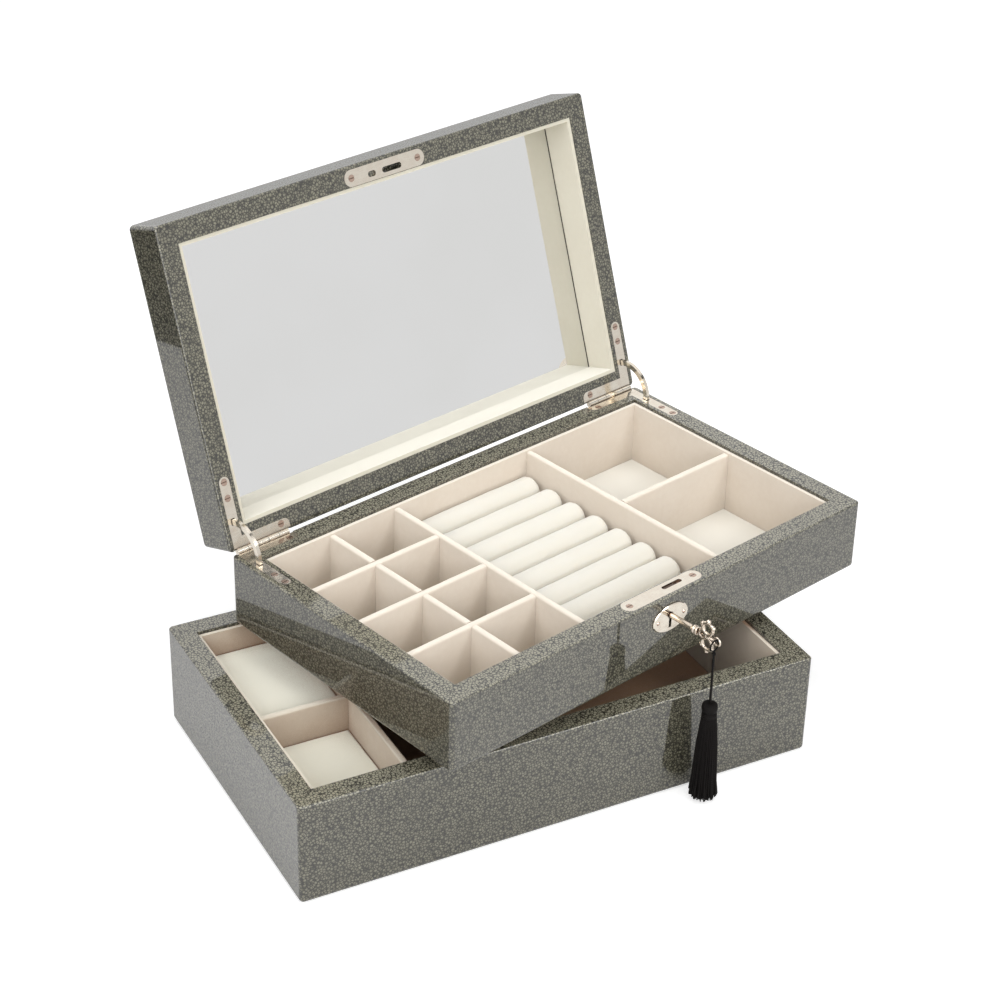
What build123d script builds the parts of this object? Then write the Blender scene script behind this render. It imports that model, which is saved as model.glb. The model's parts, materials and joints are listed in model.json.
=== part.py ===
"""Two-tier jewelry box with a mirrored lid, ring rolls, corner hinges with quadrant stays and a lock.

World frame: origin at the centre of the lower tray's underside, X along its front edge to the
right, Y to the back, Z up. The upper tier stands turned and shifted on the lower tray's rim, with
its lid thrown open on the stays, the key in the lock and a tassel hanging from the key.
"""
import os
from math import asin, cos, degrees, pi, radians, sin, sqrt

from build123d import *

os.makedirs("parts", exist_ok=True)

# Outer boxes
BOX_WIDTH = 300.0
BOX_DEPTH = 178.0
WALL = 12.0
CORNER_R = 2.5
RIM_EDGE_R = 0.9
FOOT_EDGE_R = 2.4
LOWER_HEIGHT = 60.0
TIER_HEIGHT = 42.0
LID_HEIGHT = 26.0

# Boards let into the boxes
REBATE = 4.0
BOARD_FIT = 0.1
LOWER_BOARD = 5.0
LOWER_FELT = 1.0
TIER_BOARD = 2.5
LID_BOARD = 3.0
MIRROR_THICK = 2.0

# Linings, floors and dividers
LINING = 2.0
LINING_DROP = 2.0
LID_LINING_DROP = 0.6
FLOOR_PAD = 1.0
DIVIDER = 4.0
DIVIDER_EDGE_R = 1.2
DIVIDER_FIT = 0.1
LOWER_DIVIDER_DROP = 8.5
TIER_DIVIDER_DROP = 3.0
LOWER_LONG_SHARE = 0.27333
LOWER_CROSS_Y = 0.0
REAR_FLOOR_DROP = 15.5
FRONT_FLOOR_DROP = 28.5
FLOOR_EDGE_R = 1.5
GRID_ROW_COUNT = 4
BAY_LEFT_SHARE = 0.16
BAY_RIGHT_SHARE = 0.17
RIGHT_CROSS_Y = 0.0

# Ring rolls
ROLL_COUNT = 8
ROLL_GAP = 0.3
ROLL_DROP = 13.0
ROLL_END_GAP = 3.5
ROLL_DRAW_IN = 0.5
ROLL_BASE_R = 2.8
ROLL_END_BEVEL = 2.4

# Plinth under the upper tier, and where the tier stands
PLINTH_HEIGHT = 8.0
PLINTH_FELT = 0.6
PLINTH_FIT = 0.6
TIER_TURN = 14.5
TIER_SHIFT_X = 47.4
TIER_SHIFT_Y = 17.5

# Corner hinges
LID_OPEN = 108.0
RIM_GAP = 0.6
PIN_BEHIND = 0.6
PIN_R = 0.8
PIN_FIT = 0.03
BARREL_R = 1.7
BARREL_LENGTH = 34.0
BARREL_INSET = 4.0
KNUCKLES = 5
KNUCKLE_GAP = 0.2
SWING_GAP = 0.15
LEAF = 1.5
LEAF_SINK = 0.1
LEAF_FIT = 0.15
SIDE_ARM_WIDTH = 6.5
SIDE_ARM_INSET = 3.0
SIDE_ARM_LENGTH = 41.0
BACK_ARM_WIDTH = 7.0
BACK_ARM_REACH = 40.5
BACK_ARM_R = 3.5

# Quadrant stays
STAY_R = 16.5
STAY_WIDTH = 3.0
STAY_THICK = 2.0
STAY_SLOT_FIT = 0.2
STAY_SLOT_ENDS = 0.3
STAY_STOP_GAP = 0.1
LUG_R = 1.3
LUG_LENGTH = 4.4
MORTISE_FIT = 0.2
MORTISE_ENDS = 0.25

# Screws
SCREW_R = 0.9
SCREW_HEAD_R = 2.0
SCREW_LENGTH = 8.0
SCREW_HOLE_DEPTH = 8.4
SCREW_SLOT = 0.5
SCREW_SLOT_DEEP = 0.4
SIDE_SCREWS_FROM_REAR = (38.0, 29.0)
BACK_SCREW_FROM_SIDE = 35.0
BACK_SCREW_FROM_REAR = 4.6

# Lock plates
PLATE_X = 0.5
PLATE_WIDTH = 9.4
PLATE_INSET = 2.4
PLATE_FIT = 0.1
CASE_TO_SCREW = 4.3
SELVEDGE_SLOT_X = 9.0
SELVEDGE_SLOT_LENGTH = 14.0
SELVEDGE_SLOT_WIDTH = 2.8
STRIKER_SLOT_X = 5.25
STRIKER_SLOT_LENGTH = 13.5
STRIKER_SLOT_WIDTH = 3.2
STRIKER_BLANK_X = -8.75
STRIKER_BLANK_LENGTH = 5.5
POCKET_DEPTH = 7.0
POCKET_MARGIN = 0.6

# Lock case and bolt
CASE_LENGTH = 38.0
CASE_THICK = 7.6
CASE_HEIGHT = 26.4
CASE_FROM_FRONT = 3.2
CASE_WALL = 1.0
CASE_FIT = 0.15
TONGUE_X = 7.0
TONGUE_LENGTH = 8.0
TONGUE_THICK = 2.2
TONGUE_DROP = 0.8
TONGUE_FIT = 0.1
BOLT_TRAVEL = 6.0
BOLT_LEFT_X = -7.0
BOLT_RIGHT_X = 15.0
BOLT_THICK = 1.6
BOLT_SIDE_GAP = 0.2
BOLT_TOP_GAP = 0.4
TALON_X = -5.4
TALON_LENGTH = 2.8
TALON_THICK = 3.0
TALON_LIFT_GAP = 0.25

# Key
KEY_DROP = 11.0
KEY_R = 1.6
KEY_FIT = 0.05
KEY_TIP_GAP = 0.2
KEY_REACH = 25.8
BIT_LENGTH = 7.2
BIT_WIDTH = 3.4
BIT_THICK = 1.5
BIT_NOTCH = 0.9
BIT_NOTCH_DEEP = 2.2
COLLAR_R = 2.5
COLLAR_WIDTH = 1.0
NECK_R = 1.9
NECK_WIDTH = 1.2
KEYHOLE_FIT = 0.2
KEYHOLE_SLOT = 1.9
KEYHOLE_DROP = 7.6
BOW_LENGTH = 11.0
BOW_RISE = 9.0
BOW_THICK = 1.8
BOW_WIRE = 1.5
BOW_STEM = 1.7
BEAD_R = 1.15
TIP_RING_R = 2.2
TIP_WIRE_R = 0.6
TIP_OVERLAP = 0.7
WIRE_SIDES = 10
BOW_RING_SHARES = ((0.30, 0.0, 0.36), (0.58, 0.51, 0.49), (0.58, -0.51, 0.49))
BOW_BEAD_SHARES = ((0.24, 0.70), (0.24, -0.70), (0.58, 0.98), (0.58, -0.98), (0.90, 0.72), (0.90, -0.72))

# Escutcheon
ESCUTCHEON_LENGTH = 25.5
ESCUTCHEON_HEIGHT = 16.0
ESCUTCHEON_DROP = 2.0
ESCUTCHEON_THICK = 1.0
ESCUTCHEON_BEVEL = 0.4
ESCUTCHEON_PIN_SPREAD = 19.0
NAIL_R = 0.6
NAIL_HEAD_R = 1.1
NAIL_HEAD = 0.5
NAIL_LENGTH = 3.6
NAIL_FIT = 0.02

# Cord and tassel
LOOP_R = 3.0
LOOP_WIRE_R = 0.45
LOOP_SHIFT = 1.67
KNOT_R = 1.2
KNOT_GAP = 0.3
CORD_R = 0.65
HEAD_TOP = -6.3
CAP_R = 4.3
CAP_HEIGHT = 4.6
CAP_EDGE_R = 1.2
WAIST_R = 3.7
WAIST_HEIGHT = 2.4
BAND_R = 4.1
BAND_HEIGHT = 2.0
SKIRT_TOP_R = 4.3
SKIRT_LOW_R = 7.9
SKIRT_HEM_R = 7.4
SKIRT_HEM = 2.5
SKIRT_FLOOR_GAP = 0.9

# One overrun for every cut that leaves a piece
OVERRUN = 3.0

# Sizes that follow
INNER_WIDTH = BOX_WIDTH - 2 * WALL
INNER_DEPTH = BOX_DEPTH - 2 * WALL
BOARD_WIDTH = INNER_WIDTH + 2 * REBATE
BOARD_DEPTH = INNER_DEPTH + 2 * REBATE
LINED_WIDTH = INNER_WIDTH - 2 * LINING
LINED_DEPTH = INNER_DEPTH - 2 * LINING
HALF_WIDTH = BOX_WIDTH / 2
HALF_DEPTH = BOX_DEPTH / 2
LOWER_LONG_X = -LOWER_LONG_SHARE * BOX_WIDTH
REAR_LEFT_FLOOR = LOWER_HEIGHT - REAR_FLOOR_DROP
FRONT_LEFT_FLOOR = LOWER_HEIGHT - FRONT_FLOOR_DROP
BAY_LEFT_X = -BAY_LEFT_SHARE * BOX_WIDTH
BAY_RIGHT_X = BAY_RIGHT_SHARE * BOX_WIDTH
GRID_LONG_X = (BAY_LEFT_X - DIVIDER / 2 - LINED_WIDTH / 2) / 2
GRID_PITCH = (LINED_DEPTH + DIVIDER) / GRID_ROW_COUNT
ROLL_PITCH = LINED_DEPTH / ROLL_COUNT
ROLL_CREST = TIER_HEIGHT - ROLL_DROP
BACK_ARM_END = HALF_WIDTH - BACK_ARM_REACH
BACK_SCREW_X = HALF_WIDTH - BACK_SCREW_FROM_SIDE
PLATE_SCREW_SPREAD = CASE_LENGTH + 2 * CASE_TO_SCREW
PLATE_LENGTH = PLATE_SCREW_SPREAD + PLATE_WIDTH
KEY_Z = TIER_HEIGHT - KEY_DROP
TONGUE_TOP = TIER_HEIGHT - TONGUE_DROP
LOWER_BASE = LOWER_FELT + LOWER_BOARD
LOWER_FLOOR = LOWER_BASE + FLOOR_PAD
TIER_FLOOR = TIER_BOARD + FLOOR_PAD
PIN_Y = HALF_DEPTH + PIN_BEHIND
PIN_Z = TIER_HEIGHT + RIM_GAP / 2
RECESS = LEAF + LEAF_SINK
LEAF_FLOOR = TIER_HEIGHT - RECESS
LEAF_TOP = TIER_HEIGHT - LEAF_SINK
SIDE_ARM_X = HALF_WIDTH - SIDE_ARM_INSET - SIDE_ARM_WIDTH / 2
BARREL_END = HALF_WIDTH - BARREL_INSET
BARREL_START = BARREL_END - BARREL_LENGTH
KNUCKLE_PITCH = BARREL_LENGTH / KNUCKLES
STAY_OVERHANG = degrees(asin((PIN_Z - LEAF_FLOOR + LUG_R + STAY_STOP_GAP) / STAY_R))
STAY_CLOSED = LID_OPEN / 2 + STAY_OVERHANG
MORTISE_DROP = STAY_R * sin(radians(STAY_CLOSED)) + STAY_WIDTH / 2 + MORTISE_ENDS
MORTISE_FRONT = PIN_Y - STAY_R - STAY_WIDTH / 2 - MORTISE_ENDS
MORTISE_REAR = PIN_Y - STAY_R * cos(radians(STAY_CLOSED)) + STAY_WIDTH / 2 + MORTISE_ENDS
PLATE_Y = -(HALF_DEPTH - PLATE_INSET - PLATE_WIDTH / 2)
CASE_TOP = LEAF_FLOOR
CASE_BOTTOM = CASE_TOP - CASE_HEIGHT
CASE_FRONT = -(HALF_DEPTH - CASE_FROM_FRONT)
CASE_REAR = CASE_FRONT + CASE_THICK
BOLT_REAR = CASE_REAR - CASE_WALL - BOLT_SIDE_GAP
BOLT_FRONT = BOLT_REAR - BOLT_THICK
TONGUE_Y = PLATE_Y + (BOLT_THICK - KEY_TIP_GAP) / 2 + KEY_TIP_GAP
BOLT_TOP = CASE_TOP - CASE_WALL - BOLT_TOP_GAP - BOLT_TRAVEL
BOLT_BOTTOM = KEY_Z + BIT_THICK / 2 + TALON_LIFT_GAP - BOLT_TRAVEL
KEY_TIP = BOLT_FRONT - KEY_TIP_GAP
COLLAR_Y = KEY_TIP - KEY_REACH
BOW_Y = COLLAR_Y - 2 * COLLAR_WIDTH - NECK_WIDTH
TIP_Y = BOW_Y - BOW_LENGTH - TIP_RING_R - TIP_WIRE_R + TIP_OVERLAP
LOOP_Z = KEY_Z - LOOP_SHIFT
KNOT_Z = LOOP_Z - LOOP_R - LOOP_WIRE_R - KNOT_GAP - KNOT_R
SKIRT_TOP = HEAD_TOP - CAP_HEIGHT - WAIST_HEIGHT - BAND_HEIGHT
SKIRT_BOTTOM = -LOWER_HEIGHT - PLINTH_HEIGHT + SKIRT_FLOOR_GAP

# Frames of the three boxes: the lid's frame has its origin in the plane of the lid's rim
LOWER = Plane.XY
TIER = Plane(
    origin=(TIER_SHIFT_X, TIER_SHIFT_Y, LOWER_HEIGHT + PLINTH_HEIGHT),
    x_dir=(cos(radians(TIER_TURN)), sin(radians(TIER_TURN)), 0),
)
LID = Plane(
    TIER.location
    * Location((0, PIN_Y, PIN_Z))
    * Location((0, 0, 0), (-LID_OPEN, 0, 0))
    * Location((0, -PIN_Y, RIM_GAP / 2))
)


def level(frame: Plane, height: float) -> Plane:
    """Plane across a box at a height, seen from above."""
    return frame.offset(height)


def across(frame: Plane, x: float) -> Plane:
    """Upright plane of a box at a distance to the right, with Y and Z as its own axes."""
    return Plane(frame.location * Plane.YZ.offset(x).location)


def frontal(frame: Plane, y: float) -> Plane:
    """Upright plane of a box that faces the front, with X and Z as its own axes."""
    return Plane(frame.location * Plane.XZ.offset(-y).location)


def upward(frame: Plane) -> Axis:
    """Direction in which a box's walls rise."""
    return Axis(frame.origin, frame.z_dir)


def place(frame: Plane, x: float, y: float, z: float, tilt: tuple = (0, 0, 0)) -> Location:
    """A place in a box's own axes, turned by three angles."""
    return frame.location * Location((x, y, z), tilt)


def leaf_outline(plane: Plane, side: int, grow: float, rear: float) -> Sketch:
    """L-shaped outline of a corner hinge leaf, grown all round and run back to a given line."""
    front = HALF_DEPTH - SIDE_ARM_LENGTH + SIDE_ARM_WIDTH / 2
    arm_front = HALF_DEPTH - BACK_ARM_WIDTH
    outer = SIDE_ARM_X + SIDE_ARM_WIDTH / 2
    with BuildSketch(plane) as outline:
        with Locations((side * SIDE_ARM_X, front)):
            Circle(SIDE_ARM_WIDTH / 2 + grow)
            Rectangle(SIDE_ARM_WIDTH + 2 * grow, rear - front, align=(Align.CENTER, Align.MIN))
        span = outer - BACK_ARM_END - BACK_ARM_R + grow
        with Locations((side * (BACK_ARM_END + BACK_ARM_R + span / 2), arm_front - grow)):
            Rectangle(span, rear - arm_front + grow, align=(Align.CENTER, Align.MIN))
        with Locations((side * (BACK_ARM_END + BACK_ARM_R), arm_front + BACK_ARM_R)):
            Circle(BACK_ARM_R + grow)
        width = BACK_ARM_R + grow
        with Locations((side * (BACK_ARM_END + BACK_ARM_R - width / 2), arm_front + BACK_ARM_R)):
            Rectangle(width, rear - arm_front - BACK_ARM_R, align=(Align.CENTER, Align.MIN))
        with Locations((side * (BACK_ARM_END + BACK_ARM_R), rear)):
            Rectangle(2 * width, 2 * width, align=(Align.CENTER, Align.MIN), mode=Mode.SUBTRACT)
    return outline.sketch


def knuckle_section(plane: Plane, pin_height: float, floor: float) -> Sketch:
    """Section of a hinge knuckle with its bore and the web that joins it to the leaf."""
    web_front = PIN_Y - BARREL_R - SWING_GAP - LEAF
    web_rear = PIN_Y - BARREL_R / 2
    with BuildSketch(plane) as section:
        with Locations((PIN_Y, pin_height)):
            Circle(BARREL_R)
        with Locations((web_front, floor)):
            Rectangle(web_rear - web_front, LEAF, align=(Align.MIN, Align.MIN))
        with Locations((PIN_Y, pin_height)):
            Circle(PIN_R + PIN_FIT, mode=Mode.SUBTRACT)
    return section.sketch


def knuckle_starts(side: int, first: int) -> list:
    """Left ends, in a box's own X, of every second knuckle of one barrel."""
    starts = []
    for number in range(first, KNUCKLES, 2):
        near = BARREL_START + number * KNUCKLE_PITCH + KNUCKLE_GAP / 2
        far = near + KNUCKLE_PITCH - KNUCKLE_GAP
        starts.append(near if side > 0 else -far)
    return starts


def leaf_screw_spots(side: int) -> list:
    """X and Y of the three screws of a leaf."""
    spots = [(side * SIDE_ARM_X, HALF_DEPTH - back) for back in SIDE_SCREWS_FROM_REAR]
    spots.append((side * BACK_SCREW_X, HALF_DEPTH - BACK_SCREW_FROM_REAR))
    return spots


def plate_screw_spots() -> list:
    """X and Y of the two screws of a lock plate."""
    return [(PLATE_X - PLATE_SCREW_SPREAD / 2, PLATE_Y), (PLATE_X + PLATE_SCREW_SPREAD / 2, PLATE_Y)]


def tier_screw_places(spots: list) -> list:
    """Screw places on the tier's rim fittings, driven downwards."""
    return [place(TIER, x, y, LEAF_TOP) for x, y in spots]


def lid_screw_places(spots: list) -> list:
    """Screw places on the lid's rim fittings, driven into the lid's wall."""
    return [place(LID, x, y, LEAF_SINK, (180, 0, 0)) for x, y in spots]


LEAF_SPOTS = leaf_screw_spots(-1) + leaf_screw_spots(1)

# Lower tray: four walls as one frame, rebated below for the base board
with BuildPart() as lower_tray_walls:
    with BuildSketch(LOWER):
        RectangleRounded(BOX_WIDTH, BOX_DEPTH, CORNER_R)
    extrude(amount=LOWER_HEIGHT)
    fillet(lower_tray_walls.faces().sort_by(Axis.Z)[-1].outer_wire().edges(), RIM_EDGE_R)
    fillet(lower_tray_walls.faces().sort_by(Axis.Z)[0].outer_wire().edges(), FOOT_EDGE_R)
    with BuildSketch(LOWER):
        Rectangle(INNER_WIDTH, INNER_DEPTH)
    extrude(amount=LOWER_HEIGHT, mode=Mode.SUBTRACT)
    with BuildSketch(LOWER):
        Rectangle(BOARD_WIDTH, BOARD_DEPTH)
    extrude(amount=LOWER_BASE, mode=Mode.SUBTRACT)
lower_tray_walls.part.label = "lower_tray_walls"
export_step(lower_tray_walls.part, "parts/lower_tray_walls.step")

with BuildPart() as lower_base_board:
    with BuildSketch(level(LOWER, LOWER_FELT)):
        Rectangle(BOARD_WIDTH - 2 * BOARD_FIT, BOARD_DEPTH - 2 * BOARD_FIT)
    extrude(amount=LOWER_BOARD)
lower_base_board.part.label = "lower_base_board"
export_step(lower_base_board.part, "parts/lower_base_board.step")

with BuildPart() as lower_base_felt:
    with BuildSketch(LOWER):
        Rectangle(BOARD_WIDTH - 2 * BOARD_FIT, BOARD_DEPTH - 2 * BOARD_FIT)
    extrude(amount=LOWER_FELT)
lower_base_felt.part.label = "lower_base_felt"
export_step(lower_base_felt.part, "parts/lower_base_felt.step")

with BuildPart() as lower_lining:
    with BuildSketch(level(LOWER, LOWER_BASE)):
        Rectangle(INNER_WIDTH, INNER_DEPTH)
        Rectangle(LINED_WIDTH, LINED_DEPTH, mode=Mode.SUBTRACT)
    extrude(amount=LOWER_HEIGHT - LINING_DROP - LOWER_BASE)
lower_lining.part.label = "lower_lining"
export_step(lower_lining.part, "parts/lower_lining.step")

# Lower dividers: one from front to back, one across the left side
LOWER_DIVIDER_TOP = LOWER_HEIGHT - LOWER_DIVIDER_DROP
with BuildPart() as lower_left_divider:
    with BuildSketch(level(LOWER, LOWER_BASE)):
        with Locations((LOWER_LONG_X, 0)):
            Rectangle(DIVIDER, LINED_DEPTH - 2 * DIVIDER_FIT)
    extrude(amount=LOWER_DIVIDER_TOP - LOWER_BASE)
    fillet(lower_left_divider.faces().sort_by(Axis.Z)[-1].edges().filter_by(Axis.Y), DIVIDER_EDGE_R)
lower_left_divider.part.label = "lower_left_divider"
export_step(lower_left_divider.part, "parts/lower_left_divider.step")

LEFT_BAY_START = -LINED_WIDTH / 2 + DIVIDER_FIT
LEFT_BAY_END = LOWER_LONG_X - DIVIDER / 2 - DIVIDER_FIT
LEFT_BAY_WIDTH = LEFT_BAY_END - LEFT_BAY_START
LEFT_BAY_X = (LEFT_BAY_START + LEFT_BAY_END) / 2
with BuildPart() as lower_cross_divider:
    with BuildSketch(level(LOWER, LOWER_BASE)):
        with Locations((LEFT_BAY_X, LOWER_CROSS_Y)):
            Rectangle(LEFT_BAY_WIDTH, DIVIDER)
    extrude(amount=LOWER_DIVIDER_TOP - LOWER_BASE)
    fillet(lower_cross_divider.faces().sort_by(Axis.Z)[-1].edges().filter_by(Axis.X), DIVIDER_EDGE_R)
lower_cross_divider.part.label = "lower_cross_divider"
export_step(lower_cross_divider.part, "parts/lower_cross_divider.step")

# Raised, suede-covered floor blocks of the two left compartments
REAR_START = LOWER_CROSS_Y + DIVIDER / 2 + DIVIDER_FIT
REAR_END = LINED_DEPTH / 2 - DIVIDER_FIT
with BuildPart() as lower_rear_left_floor:
    with BuildSketch(level(LOWER, LOWER_BASE)):
        with Locations((LEFT_BAY_X, (REAR_START + REAR_END) / 2)):
            Rectangle(LEFT_BAY_WIDTH, REAR_END - REAR_START)
    extrude(amount=REAR_LEFT_FLOOR - LOWER_BASE)
    fillet(lower_rear_left_floor.faces().sort_by(Axis.Z)[-1].edges(), FLOOR_EDGE_R)
lower_rear_left_floor.part.label = "lower_rear_left_floor"
export_step(lower_rear_left_floor.part, "parts/lower_rear_left_floor.step")

FRONT_START = -LINED_DEPTH / 2 + DIVIDER_FIT
FRONT_END = LOWER_CROSS_Y - DIVIDER / 2 - DIVIDER_FIT
with BuildPart() as lower_front_left_floor:
    with BuildSketch(level(LOWER, LOWER_BASE)):
        with Locations((LEFT_BAY_X, (FRONT_START + FRONT_END) / 2)):
            Rectangle(LEFT_BAY_WIDTH, FRONT_END - FRONT_START)
    extrude(amount=FRONT_LEFT_FLOOR - LOWER_BASE)
    fillet(lower_front_left_floor.faces().sort_by(Axis.Z)[-1].edges(), FLOOR_EDGE_R)
lower_front_left_floor.part.label = "lower_front_left_floor"
export_step(lower_front_left_floor.part, "parts/lower_front_left_floor.step")

RIGHT_BAY_START = LOWER_LONG_X + DIVIDER / 2 + DIVIDER_FIT
RIGHT_BAY_END = LINED_WIDTH / 2 - DIVIDER_FIT
with BuildPart() as lower_right_floor:
    with BuildSketch(level(LOWER, LOWER_BASE)):
        with Locations(((RIGHT_BAY_START + RIGHT_BAY_END) / 2, 0)):
            Rectangle(RIGHT_BAY_END - RIGHT_BAY_START, LINED_DEPTH - 2 * DIVIDER_FIT)
    extrude(amount=FLOOR_PAD)
lower_right_floor.part.label = "lower_right_floor"
export_step(lower_right_floor.part, "parts/lower_right_floor.step")

# Upper tier: wall frame with the seats of the hinges, the stays, the lock and the plates
CASE_X = PLATE_X
with BuildPart() as upper_tier_walls:
    with BuildSketch(TIER):
        RectangleRounded(BOX_WIDTH, BOX_DEPTH, CORNER_R)
    extrude(amount=TIER_HEIGHT)
    fillet(upper_tier_walls.faces().sort_by(Axis.Z)[-1].outer_wire().edges(), RIM_EDGE_R)
    fillet(upper_tier_walls.faces().sort_by(Axis.Z)[0].outer_wire().edges(), FOOT_EDGE_R)
    with BuildSketch(TIER):
        Rectangle(INNER_WIDTH, INNER_DEPTH)
    extrude(amount=TIER_HEIGHT, mode=Mode.SUBTRACT)
    with BuildSketch(TIER):
        Rectangle(BOARD_WIDTH, BOARD_DEPTH)
    extrude(amount=TIER_BOARD, mode=Mode.SUBTRACT)
    for side in (-1, 1):
        seat = leaf_outline(level(TIER, LEAF_FLOOR), side, LEAF_FIT, HALF_DEPTH + OVERRUN)
        extrude(seat, amount=RECESS + OVERRUN, mode=Mode.SUBTRACT)
        with BuildSketch(level(TIER, PIN_Z - MORTISE_DROP)):
            with Locations((side * SIDE_ARM_X, (MORTISE_FRONT + MORTISE_REAR) / 2)):
                Rectangle(LUG_LENGTH + 2 * MORTISE_FIT, MORTISE_REAR - MORTISE_FRONT)
        extrude(amount=LEAF_FLOOR - PIN_Z + MORTISE_DROP, mode=Mode.SUBTRACT)
    with BuildSketch(level(TIER, LEAF_FLOOR)):
        with Locations((PLATE_X, PLATE_Y)):
            SlotOverall(PLATE_LENGTH + 2 * PLATE_FIT, PLATE_WIDTH + 2 * PLATE_FIT)
    extrude(amount=RECESS, mode=Mode.SUBTRACT)
    with BuildSketch(level(TIER, CASE_BOTTOM - CASE_FIT)):
        with Locations((CASE_X, (CASE_FRONT + CASE_REAR) / 2)):
            Rectangle(CASE_LENGTH + 2 * CASE_FIT, CASE_THICK + 2 * CASE_FIT)
    extrude(amount=CASE_HEIGHT + CASE_FIT, mode=Mode.SUBTRACT)
    with BuildSketch(frontal(TIER, CASE_FRONT)):
        with Locations((0, KEY_Z)):
            Circle(KEY_R + 2 * KEYHOLE_FIT)
            Rectangle(KEYHOLE_SLOT + KEYHOLE_FIT, KEYHOLE_DROP + KEYHOLE_FIT, align=(Align.CENTER, Align.MAX))
    extrude(amount=CASE_FROM_FRONT + OVERRUN, mode=Mode.SUBTRACT)
    for hand in (-1, 1):
        with Locations(
            place(TIER, PLATE_X + hand * ESCUTCHEON_PIN_SPREAD / 2, -HALF_DEPTH, KEY_Z - ESCUTCHEON_DROP, (90, 0, 0))
        ):
            Hole(NAIL_R + NAIL_FIT, depth=NAIL_LENGTH)
    with Locations(*tier_screw_places(LEAF_SPOTS + plate_screw_spots())):
        Hole(SCREW_R + PIN_FIT, depth=SCREW_HOLE_DEPTH)
upper_tier_walls.part.label = "upper_tier_walls"
export_step(upper_tier_walls.part, "parts/upper_tier_walls.step")

with BuildPart() as upper_base_panel:
    with BuildSketch(TIER):
        Rectangle(BOARD_WIDTH - 2 * BOARD_FIT, BOARD_DEPTH - 2 * BOARD_FIT)
    extrude(amount=TIER_BOARD)
upper_base_panel.part.label = "upper_base_panel"
export_step(upper_base_panel.part, "parts/upper_base_panel.step")

# Plinth that drops inside the lower tray's lining when the tier is seated square
with BuildPart() as upper_plinth:
    with BuildSketch(level(TIER, -PLINTH_HEIGHT + PLINTH_FELT)):
        Rectangle(LINED_WIDTH - 2 * PLINTH_FIT, LINED_DEPTH - 2 * PLINTH_FIT)
    extrude(amount=PLINTH_HEIGHT - PLINTH_FELT)
upper_plinth.part.label = "upper_plinth"
export_step(upper_plinth.part, "parts/upper_plinth.step")

with BuildPart() as upper_plinth_felt:
    with BuildSketch(level(TIER, -PLINTH_HEIGHT)):
        Rectangle(LINED_WIDTH - 2 * PLINTH_FIT, LINED_DEPTH - 2 * PLINTH_FIT)
    extrude(amount=PLINTH_FELT)
upper_plinth_felt.part.label = "upper_plinth_felt"
export_step(upper_plinth_felt.part, "parts/upper_plinth_felt.step")

with BuildPart() as upper_lining:
    with BuildSketch(level(TIER, TIER_BOARD)):
        Rectangle(INNER_WIDTH, INNER_DEPTH)
        Rectangle(LINED_WIDTH, LINED_DEPTH, mode=Mode.SUBTRACT)
    extrude(amount=TIER_HEIGHT - LINING_DROP - TIER_BOARD)
upper_lining.part.label = "upper_lining"
export_step(upper_lining.part, "parts/upper_lining.step")

with BuildPart() as upper_floor_pad:
    with BuildSketch(level(TIER, TIER_BOARD)):
        Rectangle(LINED_WIDTH - 2 * DIVIDER_FIT, LINED_DEPTH - 2 * DIVIDER_FIT)
    extrude(amount=FLOOR_PAD)
upper_floor_pad.part.label = "upper_floor_pad"
export_step(upper_floor_pad.part, "parts/upper_floor_pad.step")

# Upper dividers: the left grid's boards are halved into each other
TIER_DIVIDER_TOP = TIER_HEIGHT - TIER_DIVIDER_DROP
TIER_DIVIDER_HEIGHT = TIER_DIVIDER_TOP - TIER_FLOOR
HALVING = TIER_FLOOR + TIER_DIVIDER_HEIGHT / 2
GRID_ROWS = (-GRID_PITCH, 0.0, GRID_PITCH)
ALONG_TIER = Axis((0, 0, 0), TIER.y_dir)
OVER_TIER = Axis((0, 0, 0), TIER.x_dir)

with BuildPart() as upper_grid_long_divider:
    with BuildSketch(level(TIER, TIER_FLOOR)):
        with Locations((GRID_LONG_X, 0)):
            Rectangle(DIVIDER, LINED_DEPTH - 2 * DIVIDER_FIT)
    extrude(amount=TIER_DIVIDER_HEIGHT)
    fillet(upper_grid_long_divider.faces().sort_by(Axis.Z)[-1].edges().filter_by(ALONG_TIER), DIVIDER_EDGE_R)
    with BuildSketch(level(TIER, HALVING - DIVIDER_FIT)):
        with Locations(*[(GRID_LONG_X, row) for row in GRID_ROWS]):
            Rectangle(DIVIDER + OVERRUN, DIVIDER + 2 * DIVIDER_FIT)
    extrude(amount=TIER_DIVIDER_HEIGHT, mode=Mode.SUBTRACT)
upper_grid_long_divider.part.label = "upper_grid_long_divider"
export_step(upper_grid_long_divider.part, "parts/upper_grid_long_divider.step")

GRID_START = -LINED_WIDTH / 2 + DIVIDER_FIT
GRID_END = BAY_LEFT_X - DIVIDER / 2 - DIVIDER_FIT
for number, row in enumerate(GRID_ROWS, start=1):
    with BuildPart() as upper_grid_cross_divider:
        with BuildSketch(level(TIER, TIER_FLOOR)):
            with Locations(((GRID_START + GRID_END) / 2, row)):
                Rectangle(GRID_END - GRID_START, DIVIDER)
        extrude(amount=TIER_DIVIDER_HEIGHT)
        fillet(
            upper_grid_cross_divider.faces().sort_by(Axis.Z)[-1].edges().filter_by(OVER_TIER),
            DIVIDER_EDGE_R,
        )
        with BuildSketch(level(TIER, TIER_FLOOR)):
            with Locations((GRID_LONG_X, row)):
                Rectangle(DIVIDER + 2 * DIVIDER_FIT, DIVIDER + OVERRUN)
        extrude(amount=HALVING - TIER_FLOOR, mode=Mode.SUBTRACT)
    upper_grid_cross_divider.part.label = f"upper_grid_cross_divider_{number}"
    export_step(upper_grid_cross_divider.part, f"parts/upper_grid_cross_divider_{number}.step")

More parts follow.
